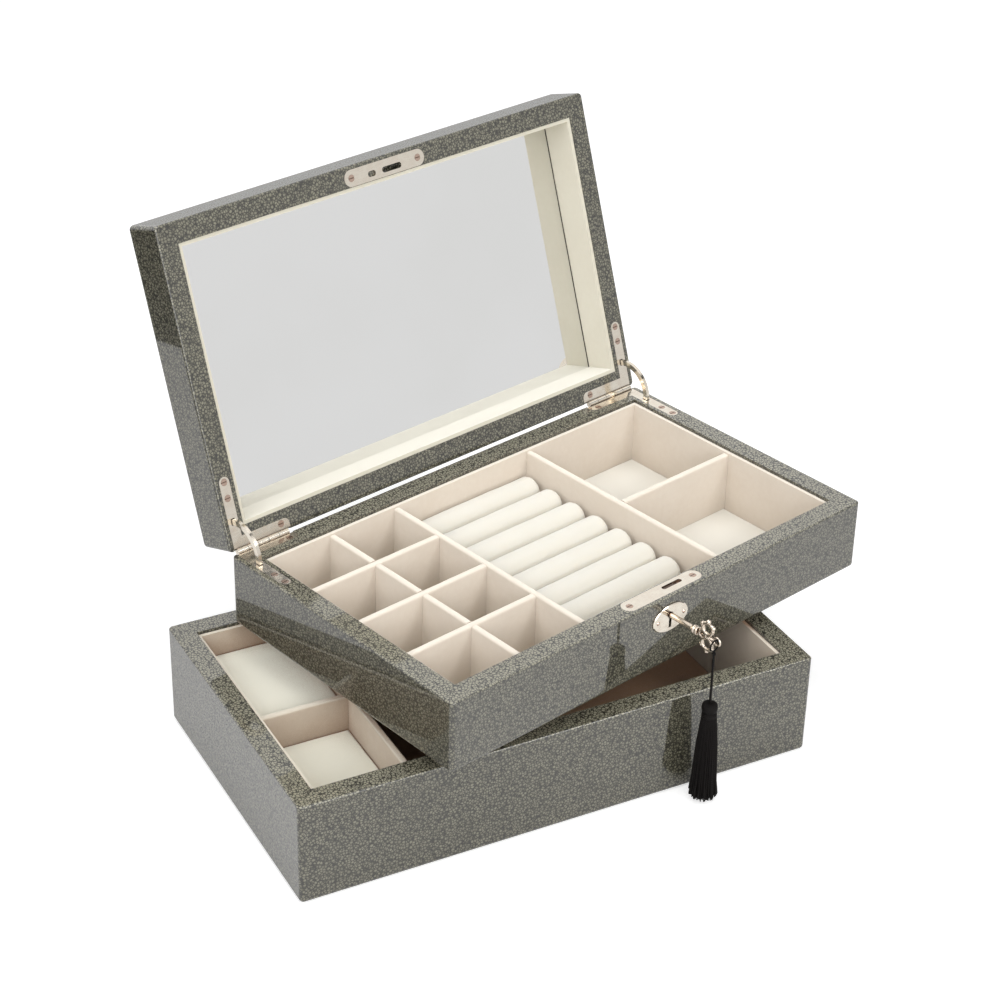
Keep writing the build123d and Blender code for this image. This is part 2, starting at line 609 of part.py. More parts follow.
for name, bay_x in (("upper_bay_divider_left", BAY_LEFT_X), ("upper_bay_divider_right", BAY_RIGHT_X)):
    with BuildPart() as upper_bay_divider:
        with BuildSketch(level(TIER, TIER_FLOOR)):
            with Locations((bay_x, 0)):
                Rectangle(DIVIDER, LINED_DEPTH - 2 * DIVIDER_FIT)
        extrude(amount=TIER_DIVIDER_HEIGHT)
        fillet(upper_bay_divider.faces().sort_by(Axis.Z)[-1].edges().filter_by(ALONG_TIER), DIVIDER_EDGE_R)
    upper_bay_divider.part.label = name
    export_step(upper_bay_divider.part, f"parts/{name}.step")

CROSS_START = BAY_RIGHT_X + DIVIDER / 2 + DIVIDER_FIT
CROSS_END = LINED_WIDTH / 2 - DIVIDER_FIT
with BuildPart() as upper_right_cross_divider:
    with BuildSketch(level(TIER, TIER_FLOOR)):
        with Locations(((CROSS_START + CROSS_END) / 2, RIGHT_CROSS_Y)):
            Rectangle(CROSS_END - CROSS_START, DIVIDER)
    extrude(amount=TIER_DIVIDER_HEIGHT)
    fillet(
        upper_right_cross_divider.faces().sort_by(Axis.Z)[-1].edges().filter_by(OVER_TIER),
        DIVIDER_EDGE_R,
    )
upper_right_cross_divider.part.label = "upper_right_cross_divider"
export_step(upper_right_cross_divider.part, "parts/upper_right_cross_divider.step")

# Ring rolls: suede over foam, drawn in at the foot, with a round crown and soft ends
ROLL_HALF = (ROLL_PITCH - ROLL_GAP) / 2
ROLL_START = BAY_LEFT_X + DIVIDER / 2 + ROLL_END_GAP
ROLL_END = BAY_RIGHT_X - DIVIDER / 2 - ROLL_END_GAP
ROLL_SHOULDER = ROLL_CREST - ROLL_HALF
for number in range(ROLL_COUNT):
    roll_y = (number - (ROLL_COUNT - 1) / 2) * ROLL_PITCH
    with BuildPart() as ring_roll:
        with BuildSketch(across(TIER, ROLL_START)) as roll_section:
            with BuildLine():
                Line(
                    (roll_y - ROLL_HALF + ROLL_DRAW_IN, TIER_FLOOR),
                    (roll_y + ROLL_HALF - ROLL_DRAW_IN, TIER_FLOOR),
                )
                Line((roll_y + ROLL_HALF - ROLL_DRAW_IN, TIER_FLOOR), (roll_y + ROLL_HALF, ROLL_SHOULDER))
                ThreePointArc(
                    (roll_y + ROLL_HALF, ROLL_SHOULDER),
                    (roll_y, ROLL_CREST),
                    (roll_y - ROLL_HALF, ROLL_SHOULDER),
                )
                Line((roll_y - ROLL_HALF, ROLL_SHOULDER), (roll_y - ROLL_HALF + ROLL_DRAW_IN, TIER_FLOOR))
            make_face()
            fillet(roll_section.vertices().group_by(Axis.Y)[0], ROLL_BASE_R)
        extrude(amount=ROLL_END - ROLL_START)
        ends = ring_roll.faces().sort_by(OVER_TIER)
        chamfer(ends[0].edges() + ends[-1].edges(), ROLL_END_BEVEL)
    ring_roll.part.label = f"ring_roll_{number + 1}"
    export_step(ring_roll.part, f"parts/ring_roll_{number + 1}.step")

# Lid: wall frame, top board, mirror and the lining that holds the mirror
with BuildPart() as lid_walls:
    with BuildSketch(LID):
        RectangleRounded(BOX_WIDTH, BOX_DEPTH, CORNER_R)
    extrude(amount=LID_HEIGHT)
    fillet(lid_walls.faces().sort_by(upward(LID))[-1].outer_wire().edges(), FOOT_EDGE_R)
    fillet(lid_walls.faces().sort_by(upward(LID))[0].outer_wire().edges(), RIM_EDGE_R)
    with BuildSketch(LID):
        Rectangle(INNER_WIDTH, INNER_DEPTH)
    extrude(amount=LID_HEIGHT, mode=Mode.SUBTRACT)
    with BuildSketch(level(LID, LID_HEIGHT - LID_BOARD)):
        Rectangle(BOARD_WIDTH, BOARD_DEPTH)
    extrude(amount=LID_BOARD, mode=Mode.SUBTRACT)
    for side in (-1, 1):
        seat = leaf_outline(LID, side, LEAF_FIT, HALF_DEPTH + OVERRUN)
        extrude(seat, amount=RECESS, mode=Mode.SUBTRACT)
        with BuildSketch(level(LID, RECESS)):
            with Locations((side * SIDE_ARM_X, (MORTISE_FRONT + MORTISE_REAR) / 2)):
                Rectangle(LUG_LENGTH + 2 * MORTISE_FIT, MORTISE_REAR - MORTISE_FRONT)
        extrude(amount=MORTISE_DROP - RIM_GAP / 2 - RECESS, mode=Mode.SUBTRACT)
    with BuildSketch(LID):
        with Locations((PLATE_X, PLATE_Y)):
            SlotOverall(PLATE_LENGTH + 2 * PLATE_FIT, PLATE_WIDTH + 2 * PLATE_FIT)
    extrude(amount=RECESS, mode=Mode.SUBTRACT)
    with BuildSketch(LID):
        with Locations((STRIKER_SLOT_X, TONGUE_Y)):
            SlotOverall(STRIKER_SLOT_LENGTH + 2 * POCKET_MARGIN, STRIKER_SLOT_WIDTH + 2 * POCKET_MARGIN)
    extrude(amount=POCKET_DEPTH, mode=Mode.SUBTRACT)
    with Locations(*lid_screw_places(LEAF_SPOTS + plate_screw_spots())):
        Hole(SCREW_R + PIN_FIT, depth=SCREW_HOLE_DEPTH)
lid_walls.part.label = "lid_walls"
export_step(lid_walls.part, "parts/lid_walls.step")

with BuildPart() as lid_top_panel:
    with BuildSketch(level(LID, LID_HEIGHT - LID_BOARD)):
        Rectangle(BOARD_WIDTH - 2 * BOARD_FIT, BOARD_DEPTH - 2 * BOARD_FIT)
    extrude(amount=LID_BOARD)
lid_top_panel.part.label = "lid_top_panel"
export_step(lid_top_panel.part, "parts/lid_top_panel.step")

MIRROR_FACE = LID_HEIGHT - LID_BOARD - MIRROR_THICK
with BuildPart() as mirror:
    with BuildSketch(level(LID, MIRROR_FACE)):
        Rectangle(INNER_WIDTH - 2 * BOARD_FIT, INNER_DEPTH - 2 * BOARD_FIT)
    extrude(amount=MIRROR_THICK)
mirror.part.label = "mirror"
export_step(mirror.part, "parts/mirror.step")

with BuildPart() as lid_lining:
    with BuildSketch(level(LID, LID_LINING_DROP)):
        Rectangle(INNER_WIDTH, INNER_DEPTH)
        Rectangle(LINED_WIDTH, LINED_DEPTH, mode=Mode.SUBTRACT)
    extrude(amount=MIRROR_FACE - LID_LINING_DROP)
lid_lining.part.label = "lid_lining"
export_step(lid_lining.part, "parts/lid_lining.step")

# Hinge leaves with their knuckles: three knuckles on the tier, two on the lid
SLOT_FRONT = PIN_Y - STAY_R - STAY_WIDTH / 2 - STAY_SLOT_ENDS
SLOT_DIP = PIN_Z - LEAF_FLOOR
SLOT_REAR = PIN_Y - sqrt((STAY_R - STAY_WIDTH / 2) ** 2 - SLOT_DIP**2) + STAY_SLOT_ENDS
LEAF_BACK = PIN_Y - BARREL_R - SWING_GAP
for side, hand in ((-1, "left"), (1, "right")):
    with BuildPart() as tier_leaf:
        extrude(leaf_outline(level(TIER, LEAF_FLOOR), side, 0, LEAF_BACK), amount=LEAF)
        for start in knuckle_starts(side, 0):
            section = knuckle_section(across(TIER, start), PIN_Z, LEAF_FLOOR)
            extrude(section, amount=KNUCKLE_PITCH - KNUCKLE_GAP)
        with BuildSketch(level(TIER, LEAF_FLOOR)):
            with Locations((side * SIDE_ARM_X, (SLOT_FRONT + SLOT_REAR) / 2)):
                Rectangle(STAY_THICK + 2 * STAY_SLOT_FIT, SLOT_REAR - SLOT_FRONT)
        extrude(amount=LEAF, mode=Mode.SUBTRACT)
        with Locations(*tier_screw_places(leaf_screw_spots(side))):
            CounterSinkHole(SCREW_R + PIN_FIT, SCREW_HEAD_R + PIN_FIT, depth=RECESS, counter_sink_angle=90)
    tier_leaf.part.label = f"{hand}_hinge_tier_leaf"
    export_step(tier_leaf.part, f"parts/{hand}_hinge_tier_leaf.step")

    with BuildPart() as lid_leaf:
        extrude(leaf_outline(level(LID, LEAF_SINK), side, 0, LEAF_BACK), amount=LEAF)
        for start in knuckle_starts(side, 1):
            section = knuckle_section(across(LID, start), -RIM_GAP / 2, LEAF_SINK)
            extrude(section, amount=KNUCKLE_PITCH - KNUCKLE_GAP)
        with BuildSketch(level(LID, LEAF_SINK)):
            with Locations((side * SIDE_ARM_X, (SLOT_FRONT + SLOT_REAR) / 2)):
                Rectangle(STAY_THICK + 2 * STAY_SLOT_FIT, SLOT_REAR - SLOT_FRONT)
        extrude(amount=LEAF, mode=Mode.SUBTRACT)
        with Locations(*lid_screw_places(leaf_screw_spots(side))):
            CounterSinkHole(SCREW_R + PIN_FIT, SCREW_HEAD_R + PIN_FIT, depth=RECESS, counter_sink_angle=90)
    lid_leaf.part.label = f"{hand}_hinge_lid_leaf"
    export_step(lid_leaf.part, f"parts/{hand}_hinge_lid_leaf.step")

with BuildPart() as hinge_pins:
    for start in (BARREL_START, -BARREL_END):
        with BuildSketch(across(TIER, start)):
            with Locations((PIN_Y, PIN_Z)):
                Circle(PIN_R)
        extrude(amount=BARREL_LENGTH)
hinge_pins.part.label = "hinge_pins"
export_step(hinge_pins.part, "parts/hinge_pins.step")

# Quadrant stays: arcs about the hinge pin that run in slots of both leaves, with lugs as stops
for side, hand in ((-1, "left"), (1, "right")):
    with BuildPart() as stay_arm:
        with BuildSketch(across(TIER, side * SIDE_ARM_X - STAY_THICK / 2)):
            with BuildLine():
                low = degrees(pi) - LID_OPEN - STAY_OVERHANG
                sweep_angle = LID_OPEN + 2 * STAY_OVERHANG
                inner = CenterArc((PIN_Y, PIN_Z), STAY_R - STAY_WIDTH / 2, low, sweep_angle)
                outer = CenterArc((PIN_Y, PIN_Z), STAY_R + STAY_WIDTH / 2, low, sweep_angle)
                Line(inner @ 0, outer @ 0)
                Line(inner @ 1, outer @ 1)
            make_face()
            for angle in (-STAY_OVERHANG, LID_OPEN + STAY_OVERHANG):
                with Locations((PIN_Y - STAY_R * cos(radians(angle)), PIN_Z + STAY_R * sin(radians(angle)))):
                    Circle(STAY_WIDTH / 2)
        extrude(amount=STAY_THICK)
        with BuildSketch(across(TIER, side * SIDE_ARM_X - LUG_LENGTH / 2)):
            for angle in (-STAY_OVERHANG, LID_OPEN + STAY_OVERHANG):
                with Locations((PIN_Y - STAY_R * cos(radians(angle)), PIN_Z + STAY_R * sin(radians(angle)))):
                    Circle(LUG_R)
        extrude(amount=LUG_LENGTH)
    stay_arm.part.label = f"{hand}_stay_arm"
    export_step(stay_arm.part, f"parts/{hand}_stay_arm.step")


def screw_set(places: list) -> Part:
    """Countersunk, slotted screws at the given places."""
    with BuildPart() as screws:
        with Locations(*places):
            Cylinder(SCREW_R, SCREW_LENGTH, align=(Align.CENTER, Align.CENTER, Align.MAX))
            Cone(
                SCREW_R,
                SCREW_HEAD_R,
                SCREW_HEAD_R - SCREW_R,
                align=(Align.CENTER, Align.CENTER, Align.MAX),
            )
        with Locations(*places):
            Box(
                2 * SCREW_HEAD_R,
                SCREW_SLOT,
                SCREW_SLOT_DEEP,
                align=(Align.CENTER, Align.CENTER, Align.MAX),
                mode=Mode.SUBTRACT,
            )
    return screws.part


SCREW_SETS = (
    ("hinge_screws_tier", tier_screw_places(LEAF_SPOTS)),
    ("hinge_screws_lid", lid_screw_places(LEAF_SPOTS)),
    ("selvedge_screws", tier_screw_places(plate_screw_spots())),
    ("striker_screws", lid_screw_places(plate_screw_spots())),
)
for name, places in SCREW_SETS:
    screws = screw_set(places)
    screws.label = name
    export_step(screws, f"parts/{name}.step")

# Lock plates: the selvedge plate in the tier's rim and the striker in the lid's rim
with BuildPart() as selvedge_plate:
    with BuildSketch(level(TIER, LEAF_FLOOR)):
        with Locations((PLATE_X, PLATE_Y)):
            SlotOverall(PLATE_LENGTH, PLATE_WIDTH)
        with Locations((SELVEDGE_SLOT_X, TONGUE_Y)):
            SlotOverall(SELVEDGE_SLOT_LENGTH, SELVEDGE_SLOT_WIDTH, mode=Mode.SUBTRACT)
    extrude(amount=LEAF)
    with Locations(*tier_screw_places(plate_screw_spots())):
        CounterSinkHole(SCREW_R + PIN_FIT, SCREW_HEAD_R + PIN_FIT, depth=RECESS, counter_sink_angle=90)
selvedge_plate.part.label = "selvedge_plate"
export_step(selvedge_plate.part, "parts/selvedge_plate.step")

with BuildPart() as striker_plate:
    with BuildSketch(level(LID, LEAF_SINK)):
        with Locations((PLATE_X, PLATE_Y)):
            SlotOverall(PLATE_LENGTH, PLATE_WIDTH)
        with Locations((STRIKER_SLOT_X, TONGUE_Y)):
            SlotOverall(STRIKER_SLOT_LENGTH, STRIKER_SLOT_WIDTH, mode=Mode.SUBTRACT)
        with Locations((STRIKER_BLANK_X, TONGUE_Y)):
            SlotOverall(STRIKER_BLANK_LENGTH, STRIKER_SLOT_WIDTH, mode=Mode.SUBTRACT)
    extrude(amount=LEAF)
    with Locations(*lid_screw_places(plate_screw_spots())):
        CounterSinkHole(SCREW_R + PIN_FIT, SCREW_HEAD_R + PIN_FIT, depth=RECESS, counter_sink_angle=90)
striker_plate.part.label = "striker_plate"
export_step(striker_plate.part, "parts/striker_plate.step")

# Lock case under the selvedge plate, hollow, with the keyhole in front and the tongue's slot on top
with BuildPart() as lock_case:
    with BuildSketch(level(TIER, CASE_BOTTOM)):
        with Locations((CASE_X, (CASE_FRONT + CASE_REAR) / 2)):
            Rectangle(CASE_LENGTH, CASE_THICK)
    extrude(amount=CASE_HEIGHT)
    with BuildSketch(level(TIER, CASE_BOTTOM + CASE_WALL)):
        with Locations((CASE_X, (CASE_FRONT + CASE_REAR) / 2)):
            Rectangle(CASE_LENGTH - 2 * CASE_WALL, CASE_THICK - 2 * CASE_WALL)
    extrude(amount=CASE_HEIGHT - 2 * CASE_WALL, mode=Mode.SUBTRACT)
    with BuildSketch(level(TIER, CASE_TOP - CASE_WALL)):
        with Locations((TONGUE_X, TONGUE_Y)):
            Rectangle(TONGUE_LENGTH + 2 * TONGUE_FIT, TONGUE_THICK + 2 * TONGUE_FIT)
    extrude(amount=CASE_WALL, mode=Mode.SUBTRACT)
    with BuildSketch(frontal(TIER, CASE_FRONT + CASE_WALL)):
        with Locations((0, KEY_Z)):
            Circle(KEY_R + KEY_FIT)
            Rectangle(KEYHOLE_SLOT, KEYHOLE_DROP, align=(Align.CENTER, Align.MAX))
    extrude(amount=CASE_WALL, mode=Mode.SUBTRACT)
lock_case.part.label = "lock_case"
export_step(lock_case.part, "parts/lock_case.step")

# Bolt: a plate behind the key's tip, with the tongue above and the talon that the bit lifts
with BuildPart() as lock_bolt:
    with BuildSketch(frontal(TIER, BOLT_REAR)):
        with Locations(((BOLT_LEFT_X + BOLT_RIGHT_X) / 2, (BOLT_BOTTOM + BOLT_TOP) / 2)):
            Rectangle(BOLT_RIGHT_X - BOLT_LEFT_X, BOLT_TOP - BOLT_BOTTOM)
    extrude(amount=BOLT_THICK)
    with BuildSketch(level(TIER, BOLT_BOTTOM + BOLT_THICK)):
        with Locations((TONGUE_X, TONGUE_Y)):
            Rectangle(TONGUE_LENGTH, TONGUE_THICK)
    extrude(amount=TONGUE_TOP - BOLT_BOTTOM - BOLT_THICK)
    with BuildSketch(frontal(TIER, BOLT_FRONT)):
        with Locations((TALON_X, BOLT_BOTTOM)):
            Rectangle(TALON_LENGTH, BOLT_THICK, align=(Align.CENTER, Align.MIN))
    extrude(amount=TALON_THICK)
lock_bolt.part.label = "lock_bolt"
export_step(lock_bolt.part, "parts/lock_bolt.step")

# Escutcheon on the front face, with its two nails
with BuildPart() as escutcheon:
    with BuildSketch(frontal(TIER, -HALF_DEPTH)):
        with Locations((PLATE_X, KEY_Z - ESCUTCHEON_DROP)):
            Ellipse(ESCUTCHEON_LENGTH / 2, ESCUTCHEON_HEIGHT / 2)
    extrude(amount=ESCUTCHEON_THICK)
    chamfer(escutcheon.faces().sort_by(ALONG_TIER)[0].edges(), ESCUTCHEON_BEVEL)
    with BuildSketch(frontal(TIER, -HALF_DEPTH)):
        with Locations((0, KEY_Z)):
            Circle(KEY_R + KEYHOLE_FIT)
            Rectangle(KEYHOLE_SLOT, KEYHOLE_DROP, align=(Align.CENTER, Align.MAX))
    extrude(amount=ESCUTCHEON_THICK, mode=Mode.SUBTRACT)
    for hand in (-1, 1):
        with Locations(
            place(
                TIER,
                PLATE_X + hand * ESCUTCHEON_PIN_SPREAD / 2,
                -HALF_DEPTH - ESCUTCHEON_THICK,
                KEY_Z - ESCUTCHEON_DROP,
                (90, 0, 0),
            )
        ):
            Hole(NAIL_R + NAIL_FIT, depth=ESCUTCHEON_THICK)
escutcheon.part.label = "escutcheon"
export_step(escutcheon.part, "parts/escutcheon.step")

with BuildPart() as escutcheon_pins:
    for hand in (-1, 1):
        spot = place(
            TIER,
            PLATE_X + hand * ESCUTCHEON_PIN_SPREAD / 2,
            -HALF_DEPTH - ESCUTCHEON_THICK,
            KEY_Z - ESCUTCHEON_DROP,
            (90, 0, 0),
        )
        with Locations(spot):
            Cylinder(NAIL_R, NAIL_LENGTH, align=(Align.CENTER, Align.CENTER, Align.MAX))
            Cone(NAIL_HEAD_R, NAIL_R, NAIL_HEAD, align=(Align.CENTER, Align.CENTER, Align.MIN))
escutcheon_pins.part.label = "escutcheon_pins"
export_step(escutcheon_pins.part, "parts/escutcheon_pins.step")

# Key: turned shank and collars, a notched bit, and an openwork bow with a ring at its tip
KEY_AXIS = Axis(TIER.from_local_coords(Vector(0, 0, KEY_Z)), TIER.y_dir)
with BuildPart() as key:
    with BuildSketch(across(TIER, 0)):
        with BuildLine():
            Polyline(
                (KEY_TIP, KEY_Z),
                (KEY_TIP, KEY_Z + KEY_R),
                (COLLAR_Y, KEY_Z + KEY_R),
                (COLLAR_Y, KEY_Z + COLLAR_R),
                (COLLAR_Y - COLLAR_WIDTH, KEY_Z + COLLAR_R),
                (COLLAR_Y - COLLAR_WIDTH, KEY_Z + NECK_R),
                (COLLAR_Y - COLLAR_WIDTH - NECK_WIDTH, KEY_Z + NECK_R),
                (COLLAR_Y - COLLAR_WIDTH - NECK_WIDTH, KEY_Z + COLLAR_R),
                (BOW_Y, KEY_Z + COLLAR_R),
                (BOW_Y, KEY_Z),
                close=True,
            )
        make_face()
    revolve(axis=KEY_AXIS)
    with BuildSketch(frontal(TIER, KEY_TIP)):
        with Locations((0, KEY_Z)):
            Rectangle(BIT_THICK, BIT_LENGTH, align=(Align.CENTER, Align.MAX))
    extrude(amount=BIT_WIDTH)
    with BuildSketch(frontal(TIER, KEY_TIP - BIT_WIDTH / 2 + BIT_NOTCH / 2)):
        with Locations((0, KEY_Z - BIT_LENGTH)):
            Rectangle(BIT_THICK, BIT_NOTCH_DEEP, align=(Align.CENTER, Align.MIN))
    extrude(amount=BIT_NOTCH, mode=Mode.SUBTRACT)
    with BuildSketch(across(TIER, -BOW_THICK / 2)):
        for along, up, reach in BOW_RING_SHARES:
            with Locations((BOW_Y - along * BOW_LENGTH, KEY_Z + up * BOW_RISE)):
                Circle(reach * BOW_RISE)
        for along, up in BOW_BEAD_SHARES:
            with Locations((BOW_Y - along * BOW_LENGTH, KEY_Z + up * BOW_RISE)):
                Circle(BEAD_R)
        for along, up, reach in BOW_RING_SHARES:
            with Locations((BOW_Y - along * BOW_LENGTH, KEY_Z + up * BOW_RISE)):
                Circle(reach * BOW_RISE - BOW_WIRE, mode=Mode.SUBTRACT)
        with Locations((BOW_Y - BOW_LENGTH / 2 - TIP_OVERLAP / 2, KEY_Z)):
            Rectangle(BOW_LENGTH + TIP_OVERLAP, BOW_STEM)
    extrude(amount=BOW_THICK)
    with BuildSketch(frontal(TIER, TIP_Y)):
        with Locations((0, KEY_Z + TIP_RING_R)):
            RegularPolygon(TIP_WIRE_R, WIRE_SIDES)
    revolve(axis=Axis(TIER.from_local_coords(Vector(0, TIP_Y, KEY_Z)), TIER.x_dir))
key.part.label = "key"
export_step(key.part, "parts/key.step")

# Cord loop through the key's tip ring: it hangs aside of the ring's middle, so the ring's wire stays
# inside it and clear of it while the key turns
with BuildPart() as cord_loop:
    with BuildSketch(across(TIER, -LOOP_SHIFT)):
        with Locations((TIP_Y, LOOP_Z + LOOP_R)):
            RegularPolygon(LOOP_WIRE_R, WIRE_SIDES)
    revolve(axis=Axis(TIER.from_local_coords(Vector(-LOOP_SHIFT, TIP_Y, LOOP_Z)), TIER.y_dir))
cord_loop.part.label = "cord_loop"
export_step(cord_loop.part, "parts/cord_loop.step")

# Tassel: a straight cord under its knot, a bound head and a flared skirt
with BuildPart() as tassel_cord:
    with Locations(place(TIER, -LOOP_SHIFT, TIP_Y, KNOT_Z)):
        Sphere(KNOT_R)
    with BuildSketch(level(TIER, HEAD_TOP)):
        with Locations((-LOOP_SHIFT, TIP_Y)):
            Circle(CORD_R)
    extrude(amount=KNOT_Z - HEAD_TOP)
tassel_cord.part.label = "tassel_cord"
export_step(tassel_cord.part, "parts/tassel_cord.step")

HANG_AXIS = Axis(TIER.from_local_coords(Vector(-LOOP_SHIFT, TIP_Y, 0)), TIER.z_dir)
with BuildPart() as tassel_head:
    with BuildSketch(across(TIER, -LOOP_SHIFT)) as head_section:
        with BuildLine():
            Polyline(
                (TIP_Y, HEAD_TOP),
                (TIP_Y + CAP_R - CAP_EDGE_R, HEAD_TOP),
                (TIP_Y + CAP_R, HEAD_TOP - CAP_EDGE_R),
                (TIP_Y + CAP_R, HEAD_TOP - CAP_HEIGHT),
                (TIP_Y + WAIST_R, HEAD_TOP - CAP_HEIGHT),
                (TIP_Y + WAIST_R, HEAD_TOP - CAP_HEIGHT - WAIST_HEIGHT),
                (TIP_Y + BAND_R, HEAD_TOP - CAP_HEIGHT - WAIST_HEIGHT),
                (TIP_Y + BAND_R, SKIRT_TOP),
                (TIP_Y, SKIRT_TOP),
                close=True,
            )
        make_face()
    revolve(axis=HANG_AXIS)
tassel_head.part.label = "tassel_head"
export_step(tassel_head.part, "parts/tassel_head.step")

with BuildPart() as tassel_skirt:
    with BuildSketch(across(TIER, -LOOP_SHIFT)):
        with BuildLine():
            Line((TIP_Y, SKIRT_TOP), (TIP_Y + SKIRT_TOP_R, SKIRT_TOP))
            Line((TIP_Y + SKIRT_TOP_R, SKIRT_TOP), (TIP_Y + SKIRT_LOW_R, SKIRT_BOTTOM + SKIRT_HEM))
            Line((TIP_Y + SKIRT_LOW_R, SKIRT_BOTTOM + SKIRT_HEM), (TIP_Y + SKIRT_HEM_R, SKIRT_BOTTOM))
            Line((TIP_Y + SKIRT_HEM_R, SKIRT_BOTTOM), (TIP_Y, SKIRT_BOTTOM))
            Line((TIP_Y, SKIRT_BOTTOM), (TIP_Y, SKIRT_TOP))
        make_face()
    revolve(axis=HANG_AXIS)
tassel_skirt.part.label = "tassel_skirt"
export_step(tassel_skirt.part, "parts/tassel_skirt.step")

print("tassel cord length", round(KNOT_Z + KNOT_R - HEAD_TOP, 3), "diameter", 2 * CORD_R)
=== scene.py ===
import json
import logging
import math
from dataclasses import dataclass, field
from enum import Enum
from typing import Sequence

import bmesh
import bpy
from mathutils import Matrix, Vector, noise


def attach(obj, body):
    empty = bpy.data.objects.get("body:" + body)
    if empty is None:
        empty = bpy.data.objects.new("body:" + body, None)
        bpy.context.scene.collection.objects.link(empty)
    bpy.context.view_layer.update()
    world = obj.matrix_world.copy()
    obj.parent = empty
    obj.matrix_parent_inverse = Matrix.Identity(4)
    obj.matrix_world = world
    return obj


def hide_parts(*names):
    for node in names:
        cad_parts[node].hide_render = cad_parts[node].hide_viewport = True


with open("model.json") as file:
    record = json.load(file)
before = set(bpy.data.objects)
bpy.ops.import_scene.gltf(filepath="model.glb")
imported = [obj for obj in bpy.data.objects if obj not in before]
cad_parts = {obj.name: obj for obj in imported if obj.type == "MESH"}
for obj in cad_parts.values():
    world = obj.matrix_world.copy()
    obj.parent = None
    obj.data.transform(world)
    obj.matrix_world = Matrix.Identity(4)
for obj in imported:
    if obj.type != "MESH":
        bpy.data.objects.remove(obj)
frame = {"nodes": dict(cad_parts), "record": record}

Pair = tuple[float, float]
Triple = tuple[float, float, float]
Socket = bpy.types.NodeSocket
Shape = bmesh.types.BMesh
Thing = bpy.types.Object

MM = 0.001
TIER_TURN = 14.5
WHITE = (1.0, 1.0, 1.0, 1.0)
LOG = logging.getLogger("jewelry_box")
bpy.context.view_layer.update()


class Body(Enum):
    """Moving bodies of the box that pieces of the scene ride on."""

    TRAY = "lower_tray"
    TIER = "upper_tier"
    KEY = "key"
    TASSEL = "tassel"


class Slot(Enum):
    """Material slots of the record that the pieces belong to."""

    PADDING = "suede_padding"
    FELT = "dark_felt"
    METAL = "rose_nickel"
    YARN = "black_yarn"


TIER_SHIFT = Matrix.Translation(Vector((47.4, 17.5, 68.0)) * MM)
TIER_SPACE = TIER_SHIFT @ Matrix.Rotation(math.radians(TIER_TURN), 4, "Z")
TRAY_SPACE = Matrix.Identity(4)


